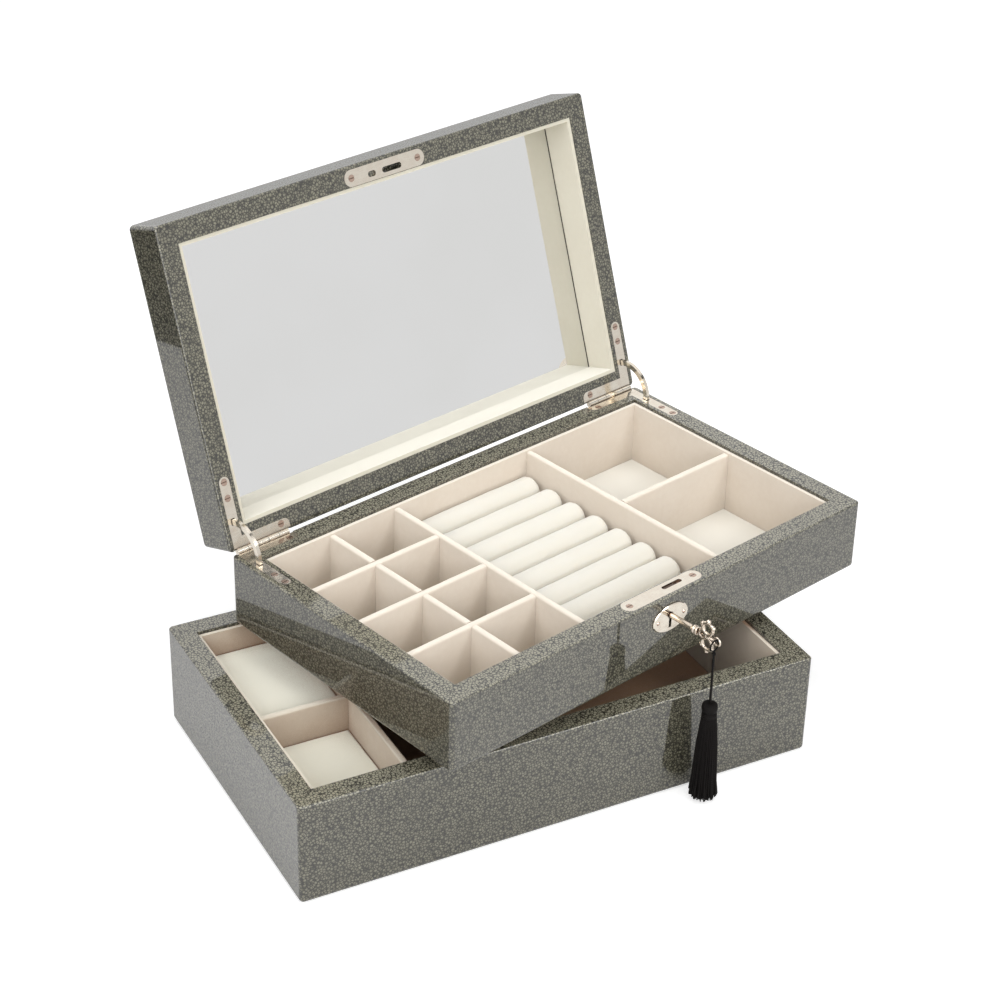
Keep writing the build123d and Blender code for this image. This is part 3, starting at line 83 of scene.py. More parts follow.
class Tree:
    """A node tree with short ways to add, feed and combine nodes."""

    occlusion_samples = 8

    def __init__(self, tree: bpy.types.NodeTree) -> None:
        """Keeps the tree of a material, a world or a node group."""
        self.tree = tree

    def first(self, kind: str) -> bpy.types.Node:
        """The first node of a type."""
        return next(node for node in self.tree.nodes if node.type == kind)

    def feed(self, socket: Socket, value: object) -> None:
        """Links a socket or sets a plain value on it.

        Args:
            socket: The input.
            value: A socket to link, or the value.
        """
        if isinstance(value, Socket):
            self.tree.links.new(value, socket)
        else:
            socket.default_value = value

    def node(self, kind: str, inputs: dict | None = None, **settings: object) -> bpy.types.Node:
        """Adds a node.

        Args:
            kind: Blender's name of the node.
            inputs: Sockets or values for its inputs, by name or number.
            settings: Properties to set on it.

        Returns:
            The new node.
        """
        made = self.tree.nodes.new(kind)
        for name, value in settings.items():
            setattr(made, name, value)
        for key, value in (inputs or {}).items():
            self.feed(made.inputs[key], value)
        return made

    def math(self, operation: str, *values: object) -> Socket:
        """Adds a math node.

        Args:
            operation: Its operation.
            values: Sockets or numbers for its inputs.

        Returns:
            Its value.
        """
        return self.node("ShaderNodeMath", dict(enumerate(values)), operation=operation).outputs["Value"]

    def times(self, value: object, share: object) -> Socket:
        """The product of two values."""
        return self.math("MULTIPLY", value, share)

    def plus(self, value: object, share: object, rest: object) -> Socket:
        """A share of a value, plus the rest."""
        return self.math("MULTIPLY_ADD", value, share, rest)

    def span(self, value: object, low: float, high: float, start: float = 0.0, end: float = 1.0) -> Socket:
        """Maps a value smoothly from one range to another.

        Args:
            value: The socket that is mapped.
            low: Where the range starts.
            high: Where it ends.
            start: What low becomes.
            end: What high becomes.

        Returns:
            The mapped value.
        """
        inputs = {"Value": value, "From Min": low, "From Max": high, "To Min": start, "To Max": end}
        return self.node("ShaderNodeMapRange", inputs, interpolation_type="SMOOTHSTEP").outputs["Result"]

    def mix(self, share: object, first: object, second: object) -> Socket:
        """Mixes two colours.

        Args:
            share: Socket or number that says how much of the second shows.
            first: Colour or socket.
            second: Colour or socket.

        Returns:
            The mixed colour.
        """
        made = self.node("ShaderNodeMix", {"Factor": share}, data_type="RGBA")
        for name, value in (("A", first), ("B", second)):
            socket = next(s for s in made.inputs if s.name == name and s.type == "RGBA")
            self.feed(socket, (*value, 1.0) if isinstance(value, tuple) else value)
        return next(s for s in made.outputs if s.type == "RGBA")

    def noise(self, vector: object, scale: object, octaves: float) -> Socket:
        """Adds a noise texture.

        Args:
            vector: Its coordinates.
            scale: Its features per metre.
            octaves: How many layers of finer noise it has.

        Returns:
            Its value.
        """
        inputs = {"Vector": vector, "Scale": scale, "Detail": octaves}
        return self.node("ShaderNodeTexNoise", inputs).outputs["Fac"]

    def turned(self, turn: Triple = (0.0, 0.0, 0.0), scale: Triple = (1.0, 1.0, 1.0)) -> Socket:
        """Object coordinates, turned and scaled.

        Args:
            turn: Angles in degrees.
            scale: Scale along the three axes.

        Returns:
            The vector.
        """
        spot = self.node("ShaderNodeTexCoord").outputs["Object"]
        inputs = {"Vector": spot, "Rotation": [math.radians(angle) for angle in turn], "Scale": scale}
        return self.node("ShaderNodeMapping", inputs).outputs["Vector"]

    def upward(self) -> Socket:
        """How far the surface faces up, from -1 to 1."""
        normal = self.node("ShaderNodeTexCoord").outputs["Normal"]
        return self.node("ShaderNodeSeparateXYZ", {"Vector": normal}).outputs["Z"]

    def openness(self, reach: float) -> Socket:
        """How little of what lies within reach hides a spot, from 0 to 1."""
        inputs = {"Distance": reach}
        return self.node("ShaderNodeAmbientOcclusion", inputs, samples=self.occlusion_samples).outputs["AO"]

    def bump(self, height: Socket, depth: float, strength: float) -> Socket:
        """Adds a bump.

        Args:
            height: The height from 0 to 1.
            depth: What 1 stands for, in metres.
            strength: How much of it shows.

        Returns:
            The bumped normal.
        """
        inputs = {"Height": height, "Distance": depth, "Strength": strength}
        return self.node("ShaderNodeBump", inputs).outputs["Normal"]


class Effect:
    """A surface effect that is built once as a node group and shared by materials."""

    name: str
    gives: tuple[str, ...]

    def place(self, tree: Tree, vector: Socket, scale: float) -> bpy.types.bpy_prop_collection:
        """Places the effect in a material.

        Args:
            tree: The material's tree.
            vector: Coordinates that it follows.
            scale: Its features per metre.

        Returns:
            Its outputs.
        """
        shared = bpy.data.node_groups.get(self.name) or self.build()
        return tree.node("ShaderNodeGroup", {"Vector": vector, "Scale": scale}, node_tree=shared).outputs

    def build(self) -> bpy.types.NodeTree:
        """Builds the node group.

        Returns:
            Its node tree.
        """
        shared = bpy.data.node_groups.new(self.name, "ShaderNodeTree")
        shared.interface.new_socket(name="Vector", in_out="INPUT", socket_type="NodeSocketVector")
        shared.interface.new_socket(name="Scale", in_out="INPUT", socket_type="NodeSocketFloat")
        for name in self.gives:
            shared.interface.new_socket(name=name, in_out="OUTPUT", socket_type="NodeSocketFloat")
        tree = Tree(shared)
        start = tree.node("NodeGroupInput").outputs
        made = self.nodes(tree, start["Vector"], start["Scale"])
        tree.node("NodeGroupOutput", dict(zip(self.gives, made)))
        return shared

    def nodes(self, tree: Tree, vector: Socket, scale: Socket) -> tuple[Socket, ...]:
        """Adds the effect's nodes; each effect has its own.

        Args:
            tree: The group's tree.
            vector: Its coordinates.
            scale: Its features per metre.

        Returns:
            What the group gives, in order.
        """
        return ()


class Pebble(Effect):
    """Round shagreen grains of uneven size, parted by fine dark lines."""

    name = "pebble"
    gives = ("Grain", "Tone", "Height")
    bend_scale = 0.6
    bend = 0.0005
    line = (0.02, 0.16)
    dome = (0.75, 0.1)
    dome_share = 0.6

    def nodes(self, tree: Tree, vector: Socket, scale: Socket) -> tuple[Socket, ...]:
        """Adds bent cells, the lines between them and a dome on each.

        Args:
            tree: The group's tree.
            vector: Its coordinates.
            scale: Its grains per metre.

        Returns:
            Grain, tone and height.
        """
        inputs = {"Vector": vector, "Scale": tree.times(scale, self.bend_scale)}
        wander = tree.node("ShaderNodeTexNoise", inputs).outputs["Color"]
        inputs = {0: wander, 1: (self.bend, self.bend, self.bend), 2: vector}
        bent = tree.node("ShaderNodeVectorMath", inputs, operation="MULTIPLY_ADD").outputs["Vector"]
        inputs = {"Vector": bent, "Scale": scale}
        edge = tree.node("ShaderNodeTexVoronoi", inputs, feature="DISTANCE_TO_EDGE").outputs["Distance"]
        cell = tree.node("ShaderNodeTexVoronoi", inputs, feature="F1").outputs
        tone = tree.node("ShaderNodeSeparateColor", {"Color": cell["Color"]}).outputs["Red"]
        grain = tree.span(edge, *self.line)
        dome = tree.times(grain, tree.span(cell["Distance"], *self.dome))
        return grain, tone, tree.plus(dome, self.dome_share, tree.times(grain, 1.0 - self.dome_share))


class Nap(Effect):
    """Short brushed fibres with soft blotches where the nap lies another way."""

    name = "nap"
    gives = ("Shade", "Blotch", "Height")
    octaves = (5.0, 4.0, 2.0)
    middle_scale = 0.12
    broad_scale = 0.015
    broad_share = 0.6
    blotch = (0.35, 0.65)
    middle_rise = 0.5

    def nodes(self, tree: Tree, vector: Socket, scale: Socket) -> tuple[Socket, ...]:
        """Adds noise of three sizes and combines it.

        Args:
            tree: The group's tree.
            vector: Its coordinates.
            scale: Its fibres per metre.

        Returns:
            Shade, blotch and height.
        """
        fine = tree.noise(vector, scale, self.octaves[0])
        middle = tree.noise(vector, tree.times(scale, self.middle_scale), self.octaves[1])
        broad = tree.noise(vector, tree.times(scale, self.broad_scale), self.octaves[2])
        blotch = tree.plus(broad, self.broad_share, tree.times(middle, 1.0 - self.broad_share))
        return fine, tree.span(blotch, *self.blotch), tree.plus(middle, self.middle_rise, fine)


class Polish(Effect):
    """Fine lines and soft waves that buffing leaves."""

    name = "polish"
    gives = ("Rub", "Height")
    octaves = 2.0
    stretch = (1.0, 12.0, 12.0)
    line_scale = 0.3
    wave_scale = 0.25
    rub = (0.3, 0.7)
    line_share = 0.5
    line_rise = 0.2

    def nodes(self, tree: Tree, vector: Socket, scale: Socket) -> tuple[Socket, ...]:
        """Adds stretched and round noise and combines them.

        Args:
            tree: The group's tree.
            vector: Its coordinates.
            scale: Its lines per metre.

        Returns:
            Rub and height.
        """
        inputs = {0: vector, 1: self.stretch}
        long = tree.node("ShaderNodeVectorMath", inputs, operation="MULTIPLY").outputs["Vector"]
        lines = tree.noise(long, tree.times(scale, self.line_scale), self.octaves)
        waves = tree.noise(vector, tree.times(scale, self.wave_scale), self.octaves)
        rub = tree.plus(lines, self.line_share, tree.times(waves, 1.0 - self.line_share))
        return tree.span(rub, *self.rub), tree.plus(lines, self.line_rise, waves)


class Twist(Effect):
    """Slanting strands of a twisted yarn."""

    name = "twist"
    gives = ("Strand", "Height")
    distortion = 1.5
    fuzz_scale = 3.0
    fuzz_octaves = 3.0
    fuzz_rise = 0.5

    def nodes(self, tree: Tree, vector: Socket, scale: Socket) -> tuple[Socket, ...]:
        """Adds slanting waves with fuzz on them.

        Args:
            tree: The group's tree.
            vector: Its coordinates.
            scale: Its strands per metre.

        Returns:
            Strand and height.
        """
        inputs = {"Vector": vector, "Scale": scale, "Distortion": self.distortion}
        bands = {"wave_type": "BANDS", "bands_direction": "DIAGONAL"}
        wave = tree.node("ShaderNodeTexWave", inputs, **bands).outputs["Fac"]
        fuzz = tree.noise(vector, tree.times(scale, self.fuzz_scale), self.fuzz_octaves)
        return tree.times(wave, fuzz), tree.plus(fuzz, self.fuzz_rise, wave)


class Finish:
    """A material that is built once from its own sizes and colours."""

    name: str

    def material(self) -> bpy.types.Material:
        """Builds the material on first use.

        Returns:
            The material.
        """
        ready = bpy.data.materials.get(self.name)
        if ready:
            return ready
        made = bpy.data.materials.new(self.name)
        made.use_nodes = True
        tree = Tree(made.node_tree)
        shader = tree.first("BSDF_PRINCIPLED")
        for name, value in self.inputs(tree).items():
            tree.feed(shader.inputs[name], value)
        return made

    def inputs(self, tree: Tree) -> dict[str, object]:
        """Says what goes into the shader; each finish has its own.

        Args:
            tree: The material's tree.

        Returns:
            What feeds each input, by name.
        """
        return {}


@dataclass(frozen=True)
class Shagreen(Finish):
    """Lacquered shagreen covering: pebbled grey-green grain under a gloss coat.

    Flecks sit on the grains, fine dark lines part them, and surfaces that face up get painted top light,
    which makes them paler.
    """

    name: str = "shagreen"
    line = (0.006, 0.0055, 0.0032)
    ground: Triple = (0.039, 0.036, 0.022)
    fleck: Triple = (0.195, 0.184, 0.13)
    painted_top_light = (0.32, 0.302, 0.222)
    painted_top_share: float = 0.9
    grains = 640.0
    turn = (8.0, 5.0, TIER_TURN)
    small_scale = 1.9
    small_share = 0.16
    small_rise = 0.25
    patch_scale = 26.0
    patch_octaves = 3.0
    patch_share = 0.4
    tones = (0.5, 1.0)
    fleck_height = (0.3, 0.88)
    painted_top_height = (0.0, 0.7)
    painted_top_facing = (0.05, 0.9)
    line_grain = (0.0, 0.75)
    line_share = 0.9
    rough = (0.5, 0.3)
    depth = 0.00012
    relief = 0.5

    def inputs(self, tree: Tree) -> dict[str, object]:
        """Says what goes into the shader.

        Args:
            tree: The material's tree.

        Returns:
            What feeds each input, by name.
        """
        vector = tree.turned(self.turn)
        cells = Pebble().place(tree, vector, self.grains)
        small = Pebble().place(tree, vector, self.grains * self.small_scale)
        patches = tree.noise(vector, self.patch_scale, self.patch_octaves)
        toned = tree.plus(patches, self.patch_share, cells["Tone"])
        tone = tree.span(toned, 0.0, 1.0 + self.patch_share, *self.tones)
        fleck = tree.times(tone, tree.span(cells["Height"], *self.fleck_height))
        base = tree.mix(tree.times(small["Height"], self.small_share), self.ground, self.fleck)
        base = tree.mix(fleck, base, self.fleck)
        # Painted top light: grain domes that face up turn to the painted top light colour.
        up = tree.span(tree.upward(), *self.painted_top_facing, 0.0, self.painted_top_share)
        base = tree.mix(tree.times(up, tree.span(cells["Height"], *self.painted_top_height)), base, self.painted_top_light)
        line = tree.span(cells["Grain"], *self.line_grain, self.line_share, 0.0)
        height = tree.plus(small["Height"], self.small_rise, cells["Height"])
        return {
            "Base Color": tree.mix(line, base, self.line),
            "Roughness": tree.span(cells["Grain"], 0.0, 1.0, *self.rough),
            "Specular IOR Level": 0.3,
            "Coat Weight": 1.0,
            "Coat Roughness": 0.03,
            "Coat IOR": 1.75,
            "Normal": tree.bump(height, self.depth, self.relief),
        }


@dataclass(frozen=True)
class Suede(Finish):
    """Brushed suede on thin board or foam, with painted light on what faces up, which turns to the crest
    colour.

    Where a shade colour is given, it is painted shade in nooks: spots that lie hidden by what is within
    reach.
    """

    name: str = "cream_suede"
    pile: Triple = (0.87, 0.845, 0.775)
    hollow: Triple = (0.83, 0.785, 0.69)
    # The colour of painted light where the suede faces up.
    crest: Triple = (0.87, 0.845, 0.775)
    fibres = 2600.0
    depth: float = 0.00012
    softness: float = 0.0
    # The brown of painted shade in nooks, or none.
    shade: Triple | None = None
    reach: float = 0.05
    painted_shade_span: Pair = (0.08, 0.42)
    blotch_share = 0.35
    groove = (0.3, 0.7)
    groove_share = 0.16
    painted_top_facing = (0.35, 0.85)
    rough = (0.95, 0.85)
    relief = 0.5

    def inputs(self, tree: Tree) -> dict[str, object]:
        """Says what goes into the shader.

        Args:
            tree: The material's tree.

        Returns:
            What feeds each input, by name.
        """
        nap = Nap().place(tree, tree.turned(), self.fibres)
        base = tree.mix(tree.times(nap["Blotch"], self.blotch_share), self.pile, self.hollow)
        base = tree.mix(tree.span(nap["Shade"], *self.groove, self.groove_share, 0.0), base, self.hollow)
        # Painted light: the crest colour shows where the surface faces up.
        base = tree.mix(tree.span(tree.upward(), *self.painted_top_facing), base, self.crest)
        # Painted shade: the shade colour shows where little is open within reach.
        if self.shade:
            base = tree.mix(tree.span(tree.openness(self.reach), *self.painted_shade_span), self.shade, base)
        return {
            "Base Color": base,
            "Roughness": tree.span(nap["Shade"], *self.groove, *self.rough),
            "Diffuse Roughness": 1.0,
            "Sheen Weight": 0.25,
            "Sheen Roughness": 0.5,
            "Specular IOR Level": 0.2,
            "Subsurface Weight": self.softness,
            "Subsurface Radius": (1.0, 0.92, 0.82),
            "Subsurface Scale": 0.004,
            "Normal": tree.bump(nap["Height"], self.depth, self.relief),
        }


@dataclass(frozen=True)
class Polished(Finish):
    """Rose-tinted nickel, polished, duller and more coppery where it is rubbed, with painted shade in its
    nooks.
    """

    name: str = "rose_metal"
    face: Triple = (0.87, 0.815, 0.71)
    rubbed: Triple = (0.66, 0.52, 0.41)
    # The colour of painted shade in nooks.
    hollow = (0.10, 0.042, 0.024)
    lines = 900.0
    reach: float = 0.0012
    gloss: Pair = (0.09, 0.2)
    rub_share = 0.35
    painted_shade_span = (0.35, 0.95)
    depth = 0.00003
    relief = 0.2

    def inputs(self, tree: Tree) -> dict[str, object]:
        """Says what goes into the shader.

        Args:
            tree: The material's tree.

        Returns:
            What feeds each input, by name.
        """
        polish = Polish().place(tree, tree.turned((0.0, 0.0, -TIER_TURN)), self.lines)
        base = tree.mix(tree.times(polish["Rub"], self.rub_share), self.face, self.rubbed)
        return {
            # Painted shade: the hollow colour shows where little is open within reach.
            "Base Color": tree.mix(tree.span(tree.openness(self.reach), *self.painted_shade_span), self.hollow, base),
            "Roughness": tree.span(polish["Rub"], 0.0, 1.0, *self.gloss),
            "Metallic": 1.0,
            "Normal": tree.bump(polish["Height"], self.depth, self.relief),
        }


class Silvered(Finish):
    """Flat mirror glass with a trace of haze and, at either end, a dark band of painted shadow for the gap
    beside it.

    The middle and the half are the glass's along the tier's long axis, in metres.
    """

    name = "mirror_silver"
    silver = (0.93, 0.93, 0.925)
    haze = (0.91, 0.91, 0.9)
    gap_shadow = (0.035, 0.028, 0.022)
    middle = 0.05027
    half = 0.1351
    gap_shadow_edge = 0.0001
    gap_shadow_rough = 0.6
    cloud_scale = 14.0
    cloud_octaves = 2.0
    cloud = (0.35, 0.7)
    rough_cloud = (0.3, 0.8)
    rough = (0.012, 0.03)

    def inputs(self, tree: Tree) -> dict[str, object]:
        """Says what goes into the shader.

        Args:
            tree: The material's tree.

        Returns:
            What feeds each input, by name.
        """
        cloud = tree.noise(tree.turned(), self.cloud_scale, self.cloud_octaves)
        along = tree.node("ShaderNodeSeparateXYZ", {"Vector": tree.turned((0.0, 0.0, -TIER_TURN))})
        off = tree.math("ABSOLUTE", tree.math("SUBTRACT", along.outputs["X"], self.middle))
        # Painted shadow: a dark, rough band without metal at each end of the glass, for the gap beside it.
        end = tree.span(off, self.half, self.half + self.gap_shadow_edge)
        glass = tree.mix(tree.span(cloud, *self.cloud), self.silver, self.haze)
        return {
            "Base Color": tree.mix(end, glass, self.gap_shadow),
            "Roughness": tree.plus(end, self.gap_shadow_rough, tree.span(cloud, *self.rough_cloud, *self.rough)),
            "Metallic": tree.math("SUBTRACT", 1.0, end),
        }


class DarkCover(Finish):
    """Dark brown leathered paper on the boards under the box."""

    name = "dark_cover"
    ground = (0.055, 0.024, 0.014)
    crease = (0.02, 0.009, 0.006)
    grains = 900.0
    turn = (3.0, 4.0, TIER_TURN)
    crease_share = 0.3
    rough = (0.42, 0.6)
    depth = 0.00006
    relief = 0.5

    def inputs(self, tree: Tree) -> dict[str, object]:
        """Says what goes into the shader.

        Args:
            tree: The material's tree.

        Returns:
            What feeds each input, by name.
        """
        cells = Pebble().place(tree, tree.turned(self.turn), self.grains)
        base = tree.mix(cells["Grain"], self.crease, self.ground)
        return {
            "Base Color": tree.mix(tree.times(cells["Tone"], self.crease_share), base, self.crease),
            "Roughness": tree.span(cells["Tone"], 0.0, 1.0, *self.rough),
            "Normal": tree.bump(cells["Height"], self.depth, self.relief),
        }


class Felt(Finish):
    """Dark short felt under the boards."""

    name = "brown_felt"
    pile = (0.055, 0.036, 0.026)
    hollow = (0.02, 0.013, 0.01)
    fibres = 1800.0
    rough = (0.9, 1.0)
    depth = 0.0002
    relief = 0.8

    def inputs(self, tree: Tree) -> dict[str, object]:
        """Says what goes into the shader.

        Args:
            tree: The material's tree.

        Returns:
            What feeds each input, by name.
        """
        nap = Nap().place(tree, tree.turned(), self.fibres)
        return {
            "Base Color": tree.mix(nap["Shade"], self.hollow, self.pile),
            "Roughness": tree.span(nap["Blotch"], 0.0, 1.0, *self.rough),
            "Sheen Weight": 0.3,
            "Normal": tree.bump(nap["Height"], self.depth, self.relief),
        }


class Yarn(Finish):
    """Black twisted viscose yarn."""

    name = "tassel_yarn"
    dark = (0.0035, 0.0028, 0.0026)
    lit = (0.014, 0.0115, 0.0105)
    strands = 900.0
    turn = (0.0, 0.0, 20.0)
    stretch = (1.0, 1.0, 0.5)
    rough = (0.7, 0.45)
    depth = 0.0001
    relief = 0.6

    def inputs(self, tree: Tree) -> dict[str, object]:
        """Says what goes into the shader.

        Args:
            tree: The material's tree.

        Returns:
            What feeds each input, by name.
        """
        twist = Twist().place(tree, tree.turned(self.turn, self.stretch), self.strands)
        return {
            "Base Color": tree.mix(twist["Strand"], self.dark, self.lit),
            "Roughness": tree.span(twist["Strand"], 0.0, 1.0, *self.rough),
            "Specular IOR Level": 0.12,
            "Normal": tree.bump(twist["Height"], self.depth, self.relief),
        }


SHAGREEN = Shagreen()
# The lid's shagreen: a lighter copy of the shagreen, with less painted top light.
LID_SHAGREEN = Shagreen("lid_shagreen", ground=(0.044, 0.041, 0.025), fleck=(0.22, 0.208, 0.147), painted_top_share=0.2)
CREAM = Suede()
FLAT_NAP = 0.00008
BOARD_SUEDE = Suede("lining_suede", (0.78, 0.71, 0.62), (0.69, 0.605, 0.505), (0.83, 0.77, 0.68), FLAT_NAP)
LID_SUEDE = Suede("lid_suede", (0.72, 0.69, 0.59), (0.66, 0.62, 0.515), (0.78, 0.755, 0.665), FLAT_NAP)
ROLL_SUEDE = Suede(
    "roll_suede", (0.81, 0.785, 0.715), (0.76, 0.725, 0.645), (0.78, 0.755, 0.685), softness=0.5
)
# The brown of painted shade in the tray's nooks and under the tier.
TRAY_PAINTED_SHADE = (0.36, 0.21, 0.12)
# The tray's lining: a darker, browner copy of the lining suede, painted shade, with more painted shade in
# its nooks.
TRAY_SUEDE = Suede(
    "tray_suede", (0.67, 0.585, 0.48), (0.57, 0.465, 0.355), (0.8, 0.74, 0.635),
    depth=FLAT_NAP, shade=TRAY_PAINTED_SHADE,
)
# The tray's big floor: cream, with painted shade where it lies under the tier.
TRAY_FLOOR = Suede(
    "tray_floor_suede", (0.88, 0.84, 0.74), (0.82, 0.77, 0.65), (0.88, 0.84, 0.74),
    shade=TRAY_PAINTED_SHADE, reach=0.12, painted_shade_span=(0.14, 0.5),
)
# The tray's left floors: a lighter copy of the cream padding, painted light, with painted shade in deep
# nooks.
TRAY_PAD = Suede(
    "tray_pad_suede", (0.95, 0.93, 0.82), (0.9, 0.87, 0.75), (0.95, 0.93, 0.82),
    shade=TRAY_PAINTED_SHADE, painted_shade_span=(0.02, 0.2),
)
METAL = Polished()
LOCK_STEEL = Polished("lock_steel", (0.16, 0.12, 0.1), (0.07, 0.045, 0.035), gloss=(0.25, 0.4))
KEY_METAL = Polished("key_metal", (0.8, 0.71, 0.6), (0.58, 0.43, 0.32), reach=0.0025, gloss=(0.14, 0.28))
SCREW = Polished("screw_metal", (0.6, 0.46, 0.38), (0.42, 0.28, 0.21), gloss=(0.12, 0.25))
MIRROR = Silvered()
COVER = DarkCover()
FELT = Felt()
YARN = Yarn()


class Shop:
    """Turns bmeshes into finished pieces of the object."""

    @staticmethod
    def add(name: str, data: bpy.types.ID) -> Thing:
        """Adds an object to the scene.

        Args:
            name: Its name.
            data: Its mesh, curve, camera or lamp.

        Returns:
            The object.
        """
        made = bpy.data.objects.new(name, data)
        bpy.context.scene.collection.objects.link(made)
        return made

    @classmethod
    def drawn(cls, name: str, shape: Shape) -> Thing:
        """Adds an object with a mesh to the scene.

        Args:
            name: Its name.
            shape: Its bmesh, freed here.

        Returns:
            The object.
        """
        mesh = bpy.data.meshes.new(name)
        shape.to_mesh(mesh)
        shape.free()
        return cls.add(name, mesh)

    @classmethod
    def piece(
        cls, name: str, shape: Shape, space: Matrix, finish: Finish, body: Body, slot: Slot,
        smooth: bool = True,
    ) -> Thing:
        """Makes a piece at the origin, with its place in its mesh.

        Args:
            name: The piece's name.
            shape: Its bmesh in millimetres, freed here.
            space: Axes that it was built in.
            finish: Its material.
            body: The body that it rides on.
            slot: Its material slot in the record; not used.
            smooth: Whether its faces are shaded smooth.

        Returns:
            The piece.
        """
        bmesh.ops.remove_doubles(shape, verts=shape.verts, dist=1e-5)
        bmesh.ops.recalc_face_normals(shape, faces=shape.faces)
        bmesh.ops.transform(shape, matrix=space @ Matrix.Scale(MM, 4), verts=shape.verts)
        for face in shape.faces:
            face.smooth = smooth
        made = cls.drawn(name, shape)
        made.data.materials.append(finish.material())
        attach(made, body.value)
        LOG.info("made %s with %d faces", name, len(made.data.polygons))
        return made

    @staticmethod
    def block(shape: Shape, low: Sequence[float], high: Sequence[float]) -> list[bmesh.types.BMVert]:
        """Adds a box between two corners.

        Args:
            shape: Where it is added.
            low: Its lowest corner.
            high: Its highest corner.

        Returns:
            Its vertices.
        """
        middle = Matrix.Translation((Vector(low) + Vector(high)) / 2)
        size = Matrix.Diagonal((*(Vector(high) - Vector(low)), 1.0))
        return bmesh.ops.create_cube(shape, size=1.0, matrix=middle @ size)["verts"]

    @staticmethod
    def soften(shape: Shape, edges: Sequence[bmesh.types.BMEdge], offset: float, segments: int) -> None:
        """Rounds edges.

        Args:
            shape: The bmesh.
            edges: The edges.
            offset: Radius in millimetres.
            segments: Steps across the round.
        """
        look = {"affect": "EDGES", "profile": 0.5, "material": -1, "clamp_overlap": True}
        bmesh.ops.bevel(shape, geom=list(edges), offset=offset, segments=segments, **look)

    @staticmethod
    def turned(shape: Shape, outline: Sequence[Pair], foot: Vector, along: Vector, steps: int) -> None:
        """Adds a turned form from its outline.

        Args:
            shape: Where it is added.
            outline: Pairs of distance along the axis and radius.
            foot: Where the axis starts.
            along: Direction of the axis.
            steps: Steps round the axis.
        """
        across = along.orthogonal().normalized()
        points = [shape.verts.new(foot + along * t + across * r) for t, r in outline]
        edges = [shape.edges.new(pair) for pair in zip(points, points[1:])]
        spin = {"cent": foot, "axis": along, "angle": math.tau, "steps": steps, "use_merge": True}
        bmesh.ops.spin(shape, geom=points + edges, **spin)

    @staticmethod
    def wire(
        shape: Shape, foot: Vector, along: Vector, radius: float, sides: int, cap: bool
    ) -> tuple[list, list]:
        """Adds the round end of a wire, from which the wire is grown.

        Args:
            shape: Where it is added.
            foot: The end's middle.
            along: The direction that the wire leaves in.
            radius: The wire's radius.
            sides: Its sides.
            cap: Whether the end is closed.

        Returns:
            The end's vertices and its edges.
        """
        turn = Matrix.Translation(foot) @ along.to_track_quat("Z", "Y").to_matrix().to_4x4()
        made = bmesh.ops.create_circle(shape, cap_ends=cap, segments=sides, radius=radius, matrix=turn)
        return made["verts"], list({e for v in made["verts"] for e in v.link_edges})

    @classmethod
    def ring(
        cls, shape: Shape, centre: Vector, axis: Vector, radius: float, wire: float, sides: int, steps: int
    ) -> None:
        """Adds a round ring of wire.

        Args:
            shape: Where it is added.
            centre: Its middle.
            axis: Its axis.
            radius: Radius of the wire's middle line.
            wire: The wire's own radius.
            sides: Sides of the wire.
            steps: Steps round the ring.
        """
        out = axis.orthogonal().normalized()
        verts, edges = cls.wire(shape, centre + out * radius, axis.cross(out), wire, sides, False)
        spin = {"cent": centre, "axis": axis, "angle": math.tau, "steps": steps, "use_merge": True}
        bmesh.ops.spin(shape, geom=verts + edges, **spin)

    @staticmethod
    def bead(shape: Shape, centre: Vector, radius: float) -> None:
        """Adds a small round bead.

        Args:
            shape: Where it is added.
            centre: Its middle.
            radius: Its radius.
        """
        place = Matrix.Translation(centre)
        bmesh.ops.create_uvsphere(shape, u_segments=16, v_segments=10, radius=radius, matrix=place)


@dataclass
class Dressing:
    """Gives every CAD node that stays its finish: its own, or else the one of its slot."""

    by_slot: dict[str, Finish] = field(default_factory=lambda: {
        "shagreen_covering": SHAGREEN,
        "dark_board": COVER,
        "dark_felt": FELT,
        "suede_lined_board": BOARD_SUEDE,
        "suede_padding": CREAM,
        "rose_nickel": METAL,
        "mirror_glass": MIRROR,
        "black_yarn": YARN,
    })
    by_finish: tuple[tuple[Finish, str], ...] = (
        (LID_SHAGREEN, "lid_walls lid_top_panel"),
        (LID_SUEDE, "lid_lining"),
        (TRAY_SUEDE, "lower_lining lower_left_divider lower_cross_divider"),
        (SCREW, "selvedge_screws striker_screws hinge_screws_tier hinge_screws_lid escutcheon_pins"),
        (LOCK_STEEL, "lock_bolt lock_case"),
    )

    def dress(self) -> None:
        """Assigns the finishes by the record's nodes and slots."""
        by_node = {node: finish for finish, nodes in self.by_finish for node in nodes.split()}
        for part in frame["record"]["subparts"]:
            node = frame["nodes"][part["node"]]
            finish = by_node.get(part["node"], self.by_slot[part["material_slot"]]).material()
            for spot in node.material_slots:
                spot.material = finish
            if not node.material_slots:
                node.data.materials.append(finish)


